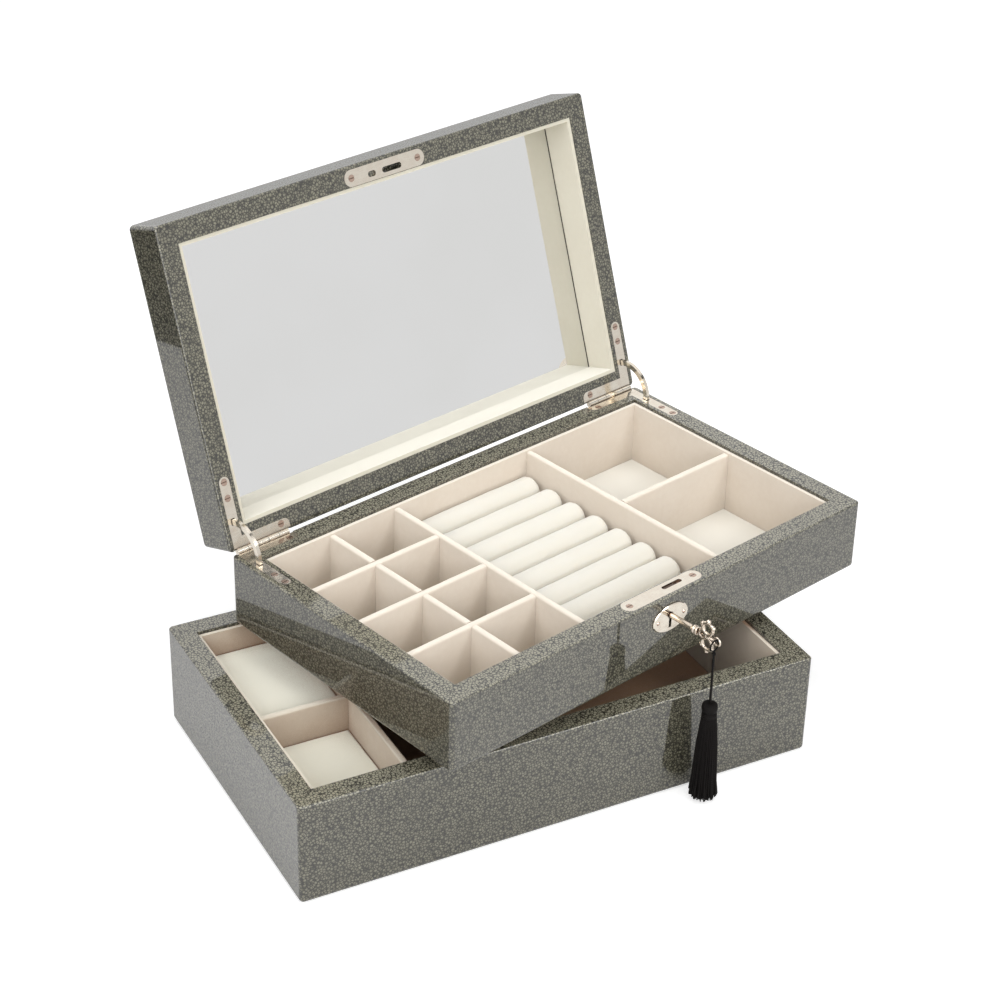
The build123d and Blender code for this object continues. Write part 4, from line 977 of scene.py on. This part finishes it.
@dataclass
class Camera:
    """Camera at the photograph's viewing angle; place and lens in millimetres, angles in degrees."""

    place: Triple = (-509.37, -962.25, 791.26)
    azimuth: float = -28.117
    elevation: float = 30.53
    roll: float = 1.343
    lens: float = 87.414
    sensor: float = 36.0
    near: float = 0.05
    far: float = 30.0

    def make(self) -> None:
        """Makes the camera and sets it as the scene's."""
        az, el, roll = (math.radians(a) for a in (self.azimuth, self.elevation, self.roll))
        back = Vector((math.sin(az) * math.cos(el), -math.cos(az) * math.cos(el), math.sin(el)))
        right = Vector((math.cos(az), math.sin(az), 0.0))
        up = back.cross(right)
        across = right * math.cos(roll) + up * math.sin(roll)
        rise = up * math.cos(roll) - right * math.sin(roll)
        eye = bpy.data.cameras.new("camera")
        eye.lens = self.lens
        eye.sensor_width = self.sensor
        eye.clip_start = self.near
        eye.clip_end = self.far
        made = Shop.add("camera", eye)
        turn = Matrix((across, rise, back)).transposed().to_4x4()
        made.matrix_world = Matrix.Translation(Vector(self.place) * MM) @ turn
        bpy.context.scene.camera = made


class Paper(Finish):
    """Pale floor that glows to the camera, more so far out, and so is white and keeps the shadow.

    The glow rises from near to far between two distances in metres, and mirrors show a share of it.
    """

    name = "paper"
    grey = 0.8
    rough = 0.9
    glow = (0.5, 0.85)
    distance = (1.2, 3.0)
    mirrored = 0.2

    def inputs(self, tree: Tree) -> dict[str, object]:
        """Adds the glow and says what goes into the shader.

        Args:
            tree: The material's tree.

        Returns:
            What feeds each input, by name.
        """
        ray = tree.node("ShaderNodeLightPath").outputs
        seen = tree.plus(ray["Is Glossy Ray"], self.mirrored, ray["Is Camera Ray"])
        spot = tree.node("ShaderNodeTexCoord").outputs["Object"]
        spread = tree.node("ShaderNodeVectorMath", {0: spot}, operation="LENGTH").outputs["Value"]
        level = tree.span(spread, *self.distance, *self.glow)
        glow = tree.node("ShaderNodeEmission", {"Strength": tree.times(seen, level)}).outputs["Emission"]
        plain = tree.first("BSDF_PRINCIPLED").outputs["BSDF"]
        both = tree.node("ShaderNodeAddShader", {0: plain, 1: glow}).outputs["Shader"]
        tree.feed(tree.first("OUTPUT_MATERIAL").inputs["Surface"], both)
        return {"Base Color": (self.grey, self.grey, self.grey, 1.0), "Roughness": self.rough}


@dataclass(frozen=True)
class Card(Finish):
    """Black or grey card that only polished surfaces mirror.

    It has a middle and half sides in metres, a turn in degrees and a brightness from 0 to 1.
    """

    name: str
    place: Triple
    half: Pair
    turn: Triple
    shade: float = 0.0
    black = (0.004, 0.004, 0.004, 1.0)

    def inputs(self, tree: Tree) -> dict[str, object]:
        """Says what goes into the shader, so that it looks equally bright from everywhere.

        Args:
            tree: The material's tree.

        Returns:
            What feeds each input, by name.
        """
        light = {"Emission Color": WHITE, "Emission Strength": self.shade}
        return {"Base Color": self.black, "Specular IOR Level": 0.0, **light}

    def make(self) -> None:
        """Makes the card."""
        shape = bmesh.new()
        size = Matrix.Diagonal((*self.half, 1.0, 1.0))
        bmesh.ops.create_grid(shape, x_segments=1, y_segments=1, size=1.0, matrix=size)
        made = Shop.drawn(self.name, shape)
        made.location = self.place
        made.rotation_euler = [math.radians(angle) for angle in self.turn]
        for ray in ("camera", "diffuse", "shadow", "transmission"):
            setattr(made, f"visible_{ray}", False)
        made.data.materials.append(self.material())


@dataclass
class Lamp:
    """Square area lamp that faces the box: place and side in metres, power in watts."""

    name: str
    place: Triple
    size: float
    power: float
    aim: Triple = (0.04, 0.0, 0.1)

    def make(self) -> None:
        """Makes the lamp."""
        light = bpy.data.lights.new(self.name, "AREA")
        light.size = self.size
        light.energy = self.power
        made = Shop.add(self.name, light)
        made.location = self.place
        made.rotation_euler = (Vector(self.place) - Vector(self.aim)).to_track_quat("Z", "Y").to_euler()


@dataclass
class Studio:
    """Pale floor, soft lamps, cards and a white surround that lights less than it shows."""

    fill: float = 0.25
    floor_size: float = 12.0
    floor_drop: float = 0.0002
    lamps: tuple[Lamp, ...] = (
        Lamp("key_light", (1.25, -1.5, 1.75), 0.6, 12.0),
        Lamp("left_light", (-1.9, -0.7, 1.5), 1.6, 20.0),
        Lamp("top_light", (-0.1, 0.3, 2.3), 1.8, 20.0),
        Lamp("front_light", (-0.6, -2.1, 1.5), 1.7, 15.0),
        Lamp("low_light", (0.2, -2.2, 0.9), 1.6, 19.0),
    )
    cards: tuple[Card, ...] = (
        Card("overhead_flag", (0.0, -0.5, 1.6), (0.9, 0.5), (0.0, 0.0, 0.0)),
        Card("floor_flag", (-0.95, 0.35, 0.002), (0.5, 0.7), (0.0, 0.0, 0.0)),
        Card("right_flag", (1.6, 0.1, 0.8), (0.7, 0.8), (0.0, 90.0, 0.0)),
        Card("left_flag", (-1.7, -0.5, 0.9), (0.7, 0.6), (0.0, 90.0, 0.0)),
        Card("grey_card", (0.63, -0.383, 0.3), (0.45, 0.3), (90.0, 0.0, 50.0), 0.74),
    )

    def make(self) -> None:
        """Makes the world, the floor, the lamps and the cards, and sets plain colours."""
        bpy.context.scene.view_settings.view_transform = "Standard"
        self.surround()
        self.floor()
        for item in (*self.lamps, *self.cards):
            item.make()

    def surround(self) -> None:
        """White world: full to the camera, glass and metal, softer as light."""
        world = bpy.data.worlds.new("surround")
        world.use_nodes = True
        world.node_tree.nodes.clear()
        tree = Tree(world.node_tree)
        ray = tree.node("ShaderNodeLightPath").outputs
        seen = tree.math("MAXIMUM", ray["Is Camera Ray"], ray["Is Glossy Ray"])
        seen = tree.math("MAXIMUM", seen, ray["Is Transmission Ray"])
        strength = tree.plus(seen, 1.0 - self.fill, self.fill)
        sky = tree.node("ShaderNodeBackground", {"Color": WHITE, "Strength": strength})
        tree.node("ShaderNodeOutputWorld", {"Surface": sky.outputs["Background"]})
        bpy.context.scene.world = world

    def floor(self) -> None:
        """Makes the floor just under the box."""
        shape = bmesh.new()
        bmesh.ops.create_grid(shape, x_segments=2, y_segments=2, size=self.floor_size / 2)
        bmesh.ops.translate(shape, verts=shape.verts, vec=(0.0, 0.0, -self.floor_drop))
        made = Shop.drawn("floor", shape)
        made.data.materials.append(Paper().material())


@dataclass
class Tassel:
    """Black tassel: loop, knot, cord, bound head and a skirt of threads.

    Sizes are in millimetres in the tier's axes; pairs for the head's parts are radius and height.
    """

    x: float = -1.67
    y: float = -123.3
    loop_z: float = 29.33
    loop_radius: float = 3.0
    loop_wire: float = 0.45
    knot_z: float = 24.38
    knot_radius: float = 1.2
    knot_wire: float = 0.42
    head_top: float = -6.3
    cord_radius: float = 0.65
    cord_inside: float = 4.6
    cap: Pair = (4.3, 4.6)
    cap_threads: int = 34
    waist: Pair = (3.7, 2.4)
    band: Pair = (4.1, 2.0)
    skirt_foot: float = -65.4
    skirt_radii: Pair = (4.2, 7.6)
    lean: float = 0.4
    threads: int = 300
    thread_sides: int = 4
    golden_angle: float = 2.399963
    seed: int = 1796067295

    def at(self, z: float) -> Vector:
        """A point on the tassel's line in the tier's axes."""
        return Vector((self.x, self.y, z))

    @staticmethod
    def around(angle: float) -> Vector:
        """The level direction at an angle round the tassel."""
        return Vector((math.cos(angle), math.sin(angle), 0.0))

    @staticmethod
    def piece(name: str, shape: Shape, node: str | None) -> Thing:
        """Makes a piece of the tassel.

        Args:
            name: The piece's name.
            shape: Its bmesh, freed here.
            node: The CAD node that it stands for, if any.

        Returns:
            The piece.
        """
        made = Shop.piece(name, shape, TIER_SPACE, YARN, Body.TASSEL, Slot.YARN)
        if node:
            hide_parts(node)
        return made

    def cord(self) -> Thing:
        """Makes the cord along its route.

        Returns:
            The curve.
        """
        curve = bpy.data.curves.new("tassel_cord_line", "CURVE")
        curve.dimensions = "3D"
        line = curve.splines.new("NURBS")
        top = self.knot_z + self.knot_radius
        end = self.head_top - self.cord_inside
        heights = (top, top - 5.0, top - 13.0, end + 10.0, end + 4.0, end)
        line.points.add(len(heights) - 1)
        for point, z in zip(line.points, heights):
            point.co = (*(TIER_SPACE @ (self.at(z) * MM)), 1.0)
        line.order_u = 3
        line.use_endpoint_u = True
        curve.bevel_depth = self.cord_radius * MM
        curve.bevel_resolution = 4
        curve.use_fill_caps = True
        curve.resolution_u = 12
        made = Shop.add("tassel_cord_line", curve)
        curve.materials.append(YARN.material())
        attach(made, Body.TASSEL.value)
        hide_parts("tassel_cord")
        return made

    def loop(self) -> Thing:
        """Makes the loop through the key's ring: strands of cord twisted into one.

        Returns:
            The piece.
        """
        shape = bmesh.new()
        centre = self.at(self.loop_z)
        slim, groove, strands, twists = 0.94, 0.08, 3, 18
        Shop.ring(shape, centre, Vector((0, 1, 0)), self.loop_radius, self.loop_wire * slim, 12, 64)
        for vert in shape.verts:
            spot = vert.co - centre
            angle = math.atan2(spot.z, spot.x)
            ring = Vector((math.cos(angle), 0.0, math.sin(angle))) * self.loop_radius
            wire = spot - ring
            slant = math.atan2(wire.y, wire.dot(ring.normalized()))
            wire *= 1.0 + groove * math.cos(strands * slant + twists * angle)
            vert.co = centre + ring + wire
        return self.piece("tassel_loop", shape, "cord_loop")

    def knot(self) -> Thing:
        """Makes the knot under the loop from crossed turns of cord.

        Returns:
            The piece.
        """
        shape = bmesh.new()
        middle = self.at(self.knot_z)
        for tilt, turn, size in ((18, 0, 0.86), (-22, 55, 0.84), (62, 120, 0.78)):
            lean = Matrix.Rotation(math.radians(tilt), 3, "X")
            axis = Matrix.Rotation(math.radians(turn), 3, "Z") @ lean @ Vector((0, 0, 1))
            radius = self.knot_radius * size - self.knot_wire
            Shop.ring(shape, middle, axis, radius, self.knot_wire, 10, 24)
        Shop.bead(shape, middle, self.knot_radius * 0.66)
        return self.piece("tassel_knot", shape, None)

    def head(self) -> Thing:
        """Makes the capped head with its windings: a band of five turns and three turns at the waist.

        Returns:
            The piece.
        """
        shape = bmesh.new()
        cap_r, cap_h = self.cap
        waist_r, waist_h = self.waist
        band_r, band_h = self.band
        foot = self.at(self.head_top)
        low = cap_h + waist_h
        outline = [(0.0, 0.0), (0.05, cap_r * 0.55), (0.5, cap_r * 0.82), (1.3, cap_r * 0.97), (2.6, cap_r)]
        outline += [(cap_h - 0.5, cap_r * 0.97), (cap_h, waist_r), (low, waist_r)]
        outline += [(low + band_h, waist_r), (low + band_h, 0.0)]
        Shop.turned(shape, outline, foot, Vector((0, 0, -1)), 48)
        for count, first, step, axis, radius, wire in (
            (5, low - 0.35, band_h / 4.4, (0.03, -0.02, 1.0), band_r - 0.36, 0.34),
            (3, cap_h + 0.3, 0.62, (-0.04, 0.03, 1.0), waist_r - 0.05, 0.3),
        ):
            for number in range(count):
                middle = self.at(self.head_top - (first + number * step))
                Shop.ring(shape, middle, Vector(axis).normalized(), radius, wire, 8, 40)
        drape = [(0.0, 1.2), (0.25, cap_r * 0.62), (1.0, cap_r * 0.9), (2.4, cap_r * 0.98)]
        drape.append((cap_h, cap_r * 0.93))
        for number in range(self.cap_threads):
            out = self.around(math.tau * number / self.cap_threads)
            self.thread(shape, [foot + out * r - Vector((0, 0, t)) for t, r in drape], 0.34)
        return self.piece("tassel_bound_head", shape, "tassel_head")

    def thread(self, shape: Shape, path: Sequence[Vector], radius: float) -> None:
        """Adds one thread as a thin tube along points.

        Args:
            shape: Where it is added.
            path: Its points.
            radius: Its radius.
        """
        run = (path[1] - path[0]).normalized()
        edges = Shop.wire(shape, path[0], run, radius, self.thread_sides, True)[1]
        for start, end in zip(path, path[1:]):
            grown = bmesh.ops.extrude_edge_only(shape, edges=edges)["geom"]
            verts = [g for g in grown if isinstance(g, bmesh.types.BMVert)]
            edges = [g for g in grown if isinstance(g, bmesh.types.BMEdge)]
            bmesh.ops.translate(shape, verts=verts, vec=end - start)
        bmesh.ops.edgeloop_fill(shape, edges=edges)

    def skirt(self) -> Thing:
        """Makes the skirt: a smooth core and threads that spread, lean and fray at the hem.

        The seed makes the threads sway alike in every run.

        Returns:
            The piece.
        """
        noise.seed_set(self.seed)
        shape = bmesh.new()
        top = self.head_top - self.cap[1] - self.waist[1] - self.band[1]
        drop = top - self.skirt_foot
        near, far = self.skirt_radii
        core = [(0.0, 0.0), (0.0, near - 0.9), (drop * 0.9, far - 1.9), (drop * 0.93, 0.0)]
        Shop.turned(shape, core, self.at(top), Vector((0, 0, -1)), 32)
        for vert in shape.verts:
            vert.co.x -= self.lean * max(0.0, (top - vert.co.z) / drop) ** 1.2
        for number in range(self.threads):
            share = (number + 0.5) / self.threads
            ring = math.sqrt(0.42 + 0.58 * share)
            seed = Vector((number * 0.37, share * 9.0, 1.3))
            sway = noise.noise_vector(seed) * 1.1
            length = drop * (1.0 - 0.035 * abs(noise.noise(seed * 2.1)) * 2.0)
            out = self.around(number * self.golden_angle)
            path = []
            for t in (0.0, 0.12, 0.35, 0.6, 0.82, 0.93, 1.0):
                swell = near * (1 - t) + far * t + 0.5 * math.sin(math.pi * min(1.0, t * 1.3))
                spot = self.at(top + 0.4 - length * t) + out * (ring * swell - 0.35)
                spot.x -= self.lean * t**1.2
                path.append(spot + Vector((sway.x, sway.y, 0.0)) * t * t * (1.0 if t < 0.9 else 1.5))
            self.thread(shape, path, 0.36)
        return self.piece("tassel_threads", shape, "tassel_skirt")

    def make(self) -> None:
        """Makes the tassel and its cord."""
        line = self.cord()
        others = [self.loop(), self.knot(), self.head(), self.skirt()]


@dataclass
class Rolls:
    """Ring rolls of suede over foam, blown out a little by cloth simulation; sizes in millimetres."""

    count: int = 8
    pitch: float = 18.75
    half_width: float = 8.75
    start: float = -42.2
    end: float = 45.2
    foot: float = 3.5
    crest: float = 28.5
    end_round: float = 2.2
    tuck_height: float = 9.0
    tuck: float = 0.06
    cap: float = 0.42
    voxel: float = 1.5
    pressure: float = 2.0
    frames: int = 20

    def raw(self) -> Shape:
        """Starting shape of one roll round the tier's own middle line.

        Returns:
            Its bmesh.
        """
        shape = bmesh.new()
        corner = (self.start, -self.half_width, self.foot)
        Shop.block(shape, corner, (self.end, self.half_width, self.crest))
        top = [e for e in shape.edges if all(v.co.z > self.foot + 1 for v in e.verts) and self.run(e).x > 1]
        Shop.soften(shape, top, self.half_width - 0.1, 10)
        ends = [e for e in shape.edges if self.run(e).x < 1e-4 and self.run(e).y + self.run(e).z > 0.1]
        Shop.soften(shape, ends, self.end_round, 4)
        for vert in shape.verts:
            low = max(0.0, 1.0 - (vert.co.z - self.foot) / self.tuck_height)
            vert.co.y *= 1.0 - self.tuck * low * low
        bmesh.ops.triangulate(shape, faces=shape.faces)
        return shape

    @staticmethod
    def run(edge: bmesh.types.BMEdge) -> Vector:
        """How far an edge runs along each axis."""
        return Vector([abs(a - b) for a, b in zip(edge.verts[0].co, edge.verts[1].co)])

    @staticmethod
    def smooth(shape: Shape) -> None:
        """Smooths a bmesh by half."""
        axes = {"use_axis_x": True, "use_axis_y": True, "use_axis_z": True}
        bmesh.ops.smooth_vert(shape, verts=shape.verts, factor=0.5, **axes)

    def blown(self, name: str) -> Shape:
        """One roll after remesh and simulation, which moves no vertex further than the cap.

        Args:
            name: Name of the working object.

        Returns:
            Its bmesh in millimetres.
        """
        shape = self.raw()
        bmesh.ops.scale(shape, verts=shape.verts, vec=(MM, MM, MM))
        work = Shop.drawn(name, shape)
        bpy.context.view_layer.objects.active = work
        remesh = work.modifiers.new("voxels", "REMESH")
        remesh.mode = "VOXEL"
        remesh.voxel_size = self.voxel * MM
        self.apply(work)
        before = [v.co.copy() for v in work.data.vertices]
        self.inflate(work)
        made = bmesh.new()
        made.from_mesh(work.data)
        bpy.data.objects.remove(work)
        for vert, old in zip(made.verts, before):
            step = vert.co - old
            if step.length > self.cap * MM:
                vert.co = old + step * (self.cap * MM / step.length)
        bmesh.ops.scale(made, verts=made.verts, vec=(1 / MM, 1 / MM, 1 / MM))
        self.smooth(made)
        return made

    def inflate(self, work: Thing) -> None:
        """Blows a roll out from inside, with its foot pinned.

        Args:
            work: The working object.
        """
        low = [v.index for v in work.data.vertices if v.co.z < (self.foot + 1.0) * MM]
        work.vertex_groups.new(name="foot").add(low, 1.0, "REPLACE")
        cloth = work.modifiers.new("foam", "CLOTH")
        cloth.settings.vertex_group_mass = "foot"
        cloth.settings.use_pressure = True
        cloth.settings.uniform_pressure_force = self.pressure
        cloth.settings.effector_weights.gravity = 0.0
        cloth.settings.quality = 6
        cloth.point_cache.frame_start = 1
        cloth.point_cache.frame_end = self.frames
        for number in range(1, self.frames + 1):
            bpy.context.scene.frame_set(number)
        self.apply(work)
        bpy.context.scene.frame_set(1)

    @staticmethod
    def apply(work: Thing) -> None:
        """Applies an object's modifiers to its mesh.

        Args:
            work: The object.
        """
        graph = bpy.context.evaluated_depsgraph_get()
        fresh = bpy.data.meshes.new_from_object(work.evaluated_get(graph))
        work.modifiers.clear()
        work.data = fresh

    def make(self) -> None:
        """Makes the eight rolls, each a little different."""
        master = self.blown("roll_work")
        bmesh.ops.subdivide_edges(master, edges=master.edges, cuts=1, use_grid_fill=True, smooth=0.6)
        self.smooth(master)
        for number in range(self.count):
            shape = master.copy()
            middle = (number - (self.count - 1) / 2) * self.pitch
            for vert in shape.verts:
                x, y, z = vert.co
                sway = noise.noise(Vector((x * 0.06, number * 5.1, z * 0.05)))
                crown = max(0.0, (z - 14.0) / 14.0)
                crease = noise.noise(Vector((x * 0.35, y * 0.4 + number * 3.0, z * 0.3)))
                vert.co.z += (0.22 * sway + 0.05 * crease) * crown
                vert.co.y += middle
            name = f"suede_roll_{number + 1}"
            made = Shop.piece(name, shape, TIER_SPACE, ROLL_SUEDE, Body.TIER, Slot.PADDING)
            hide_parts(f"ring_roll_{number + 1}")
        master.free()


@dataclass
class FloorPad:
    """A padded floor with soft edges and a faint crown, in millimetres."""

    name: str
    low: Triple
    high: Triple
    body: Body
    space: Matrix
    edge: float
    crown: float
    finish: Finish = CREAM
    cuts: int = 12
    mean_lift: float = 0.6
    ripple: float = 0.06

    def make(self, node: str | None) -> None:
        """Makes the pad.

        Args:
            node: The CAD node that it stands for, if it is the first that does.
        """
        shape = bmesh.new()
        Shop.block(shape, self.low, self.high)
        size = [self.high[i] - self.low[i] for i in range(3)]
        for axis in range(2):
            for step in range(1, self.cuts):
                middle = Vector((0.0, 0.0, 0.0))
                middle[axis] = self.low[axis] + size[axis] * step / self.cuts
                normal = Vector((0.0, 0.0, 0.0))
                normal[axis] = 1.0
                whole = shape.verts[:] + shape.edges[:] + shape.faces[:]
                bmesh.ops.bisect_plane(shape, geom=whole, plane_co=middle, plane_no=normal)
        Shop.soften(shape, [e for e in shape.edges if self.on_rim(e)], min(self.edge, size[2] * 0.8), 4)
        for vert in shape.verts:
            if vert.co.z > self.low[2] + size[2] * 0.5:
                u, v = (abs(2 * (vert.co[i] - self.low[i]) / size[i] - 1) for i in range(2))
                lift = max(0.0, 1 - u**4) * max(0.0, 1 - v**4)
                vert.co.z += self.crown * (lift - self.mean_lift) + self.ripple * noise.noise(vert.co * 0.12)
        made = Shop.piece(self.name, shape, self.space, self.finish, self.body, Slot.PADDING)
        if node:
            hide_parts(node)

    def on_rim(self, edge: bmesh.types.BMEdge) -> bool:
        """Whether an edge lies at the top, beside a side face.

        Args:
            edge: The edge.

        Returns:
            Whether it does.
        """
        beside = any(abs(face.normal.z) < 0.5 for face in edge.link_faces)
        return beside and all(abs(vert.co.z - self.high[2]) < 1e-4 for vert in edge.verts)


@dataclass
class Floors:
    """Padded floors of the tray and of the tier's compartments, in millimetres."""

    columns: tuple[Pair, ...] = ((-135.8, -93.0), (-93.0, -47.0))
    rows: tuple[Pair, ...] = ((-74.8, -38.5), (-38.5, 0.0), (0.0, 38.5), (38.5, 74.8))
    right: Pair = (50.0, 135.8)
    right_rows: tuple[Pair, ...] = ((-74.8, 0.0), (0.0, 74.8))
    pad: Pair = (2.5, 3.4)
    soft: Pair = (0.7, 0.2)
    raised: Pair = (1.6, 0.45)

    def make(self) -> None:
        """Makes all the floors."""
        low, high = self.pad
        cells = [(c, r) for c in self.columns for r in self.rows]
        cells += [(self.right, r) for r in self.right_rows]
        for number, ((x0, x1), (y0, y1)) in enumerate(cells, 1):
            corners = ((x0, y0, low), (x1, y1, high))
            pad = FloorPad(f"cell_floor_{number}", *corners, Body.TIER, TIER_SPACE, *self.soft)
            pad.make("upper_floor_pad" if number == 1 else None)
        for name, first, last, soft, finish in (
            ("rear_left", (-135.7, 2.2, 6.0), (-84.3, 74.7, 44.2), self.raised, TRAY_PAD),
            ("front_left", (-135.7, -74.7, 6.0), (-84.3, -2.2, 31.2), self.raised, TRAY_PAD),
            ("right", (-79.7, -74.7, 6.0), (135.7, 74.7, 6.9), self.soft, TRAY_FLOOR),
        ):
            pad = FloorPad(f"tray_floor_{name}", first, last, Body.TRAY, TRAY_SPACE, *soft, finish)
            pad.make(f"lower_{name}_floor")


@dataclass
class FeltSheets:
    """Felt glued under the tray and under the tier's plinth, in millimetres."""

    soften: float = 0.25

    def make(self) -> None:
        """Makes both felts."""
        for name, node, (half_x, half_y), low, high, body, space in (
            ("tray_felt", "lower_base_felt", (141.9, 80.9), 0.0, 0.95, Body.TRAY, TRAY_SPACE),
            ("plinth_felt", "upper_plinth_felt", (135.3, 74.3), -8.0, -7.45, Body.TIER, TIER_SPACE),
        ):
            shape = bmesh.new()
            Shop.block(shape, (-half_x, -half_y, low), (half_x, half_y, high))
            Shop.soften(shape, shape.edges[:], self.soften, 2)
            made = Shop.piece(name, shape, space, FELT, body, Slot.FELT, smooth=False)
            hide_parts(node)


@dataclass
class Key:
    """Turned key with an openwork bow of round wire, in millimetres in the tier's axes.

    Rings are a place along the bow, a height and a radius; beads are a place and a height; all as
    shares of the bow's length and rise. Outlines are pairs of distance along the stem and radius.
    """

    height: float = 31.0
    tip: float = -81.2
    collar: float = -107.0
    bow: float = -110.2
    length: float = 11.0
    rise: float = 9.0
    wire: float = 1.0
    bead: float = 1.3
    ring_centre: float = -123.3
    ring_radius: float = 2.2
    ring_wire: float = 0.59
    bit: Triple = (0.75, 3.4, 7.2)
    rings: tuple[Triple, ...] = ((0.30, 0.0, 0.36), (0.58, 0.51, 0.49), (0.58, -0.51, 0.49))
    beads: tuple[Pair, ...] = ((0.24, 0.70), (0.58, 0.98), (0.90, 0.72))
    stem: tuple[Pair, ...] = ((0.0, 0.0), (0.0, 1.25), (0.35, 1.58))
    collars: tuple[Pair, ...] = (
        (-1.6, 1.58), (-0.4, 1.7), (-0.1, 2.25), (0.2, 2.48), (0.8, 2.48), (1.05, 2.2), (1.2, 1.85),
        (2.0, 1.85), (2.2, 2.2), (2.45, 2.48), (2.95, 2.48), (3.2, 2.1), (3.2, 0.0),
    )
    spine: tuple[Pair, ...] = ((0.0, 0.0), (0.0, 0.88), (11.7, 0.8), (11.7, 0.0))

    def at(self, y: float, z: float = 0.0) -> Vector:
        """A point in the bow's plane, z counted from the key's axis."""
        return Vector((0.0, y, self.height + z))

    def on_bow(self, along: float, up: float) -> Vector:
        """A point on the bow from shares of its length and rise."""
        return self.at(self.bow - along * self.length, up * self.rise)

    def make(self) -> None:
        """Makes the key in one piece."""
        shape = bmesh.new()
        out, side = Vector((0, -1, 0)), Vector((1, 0, 0))
        reach = self.tip - self.collar
        outline = [*self.stem, *((reach + along, radius) for along, radius in self.collars)]
        Shop.turned(shape, outline, self.at(self.tip), out, 40)
        Shop.turned(shape, self.spine, self.at(self.bow + 0.1), out, 20)
        for along, up, share in self.rings:
            Shop.ring(shape, self.on_bow(along, up), side, share * self.rise - self.wire, self.wire, 12, 40)
        for along, up in self.beads:
            for way in (1, -1):
                Shop.bead(shape, self.on_bow(along, way * up), self.bead)
        Shop.ring(shape, self.at(self.ring_centre), side, self.ring_radius, self.ring_wire, 12, 40)
        half, width, drop = self.bit
        corner = (-half, self.tip - width, self.height - drop)
        bit = Shop.block(shape, corner, (half, self.tip, self.height))
        faces = {f for v in bit for f in v.link_faces}
        Shop.soften(shape, list({e for f in faces for e in f.edges}), 0.2, 2)
        made = Shop.piece("turned_key", shape, TIER_SPACE, KEY_METAL, Body.KEY, Slot.METAL)
        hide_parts("key")


def main() -> None:
    """Builds the scene in order."""
    logging.basicConfig(level=logging.INFO, format="%(message)s")
    Camera().make()
    Tassel().make()
    Dressing().dress()
    Rolls().make()
    Floors().make()
    FeltSheets().make()
    Key().make()
    Studio().make()


if __name__ == "__main__":
    main()
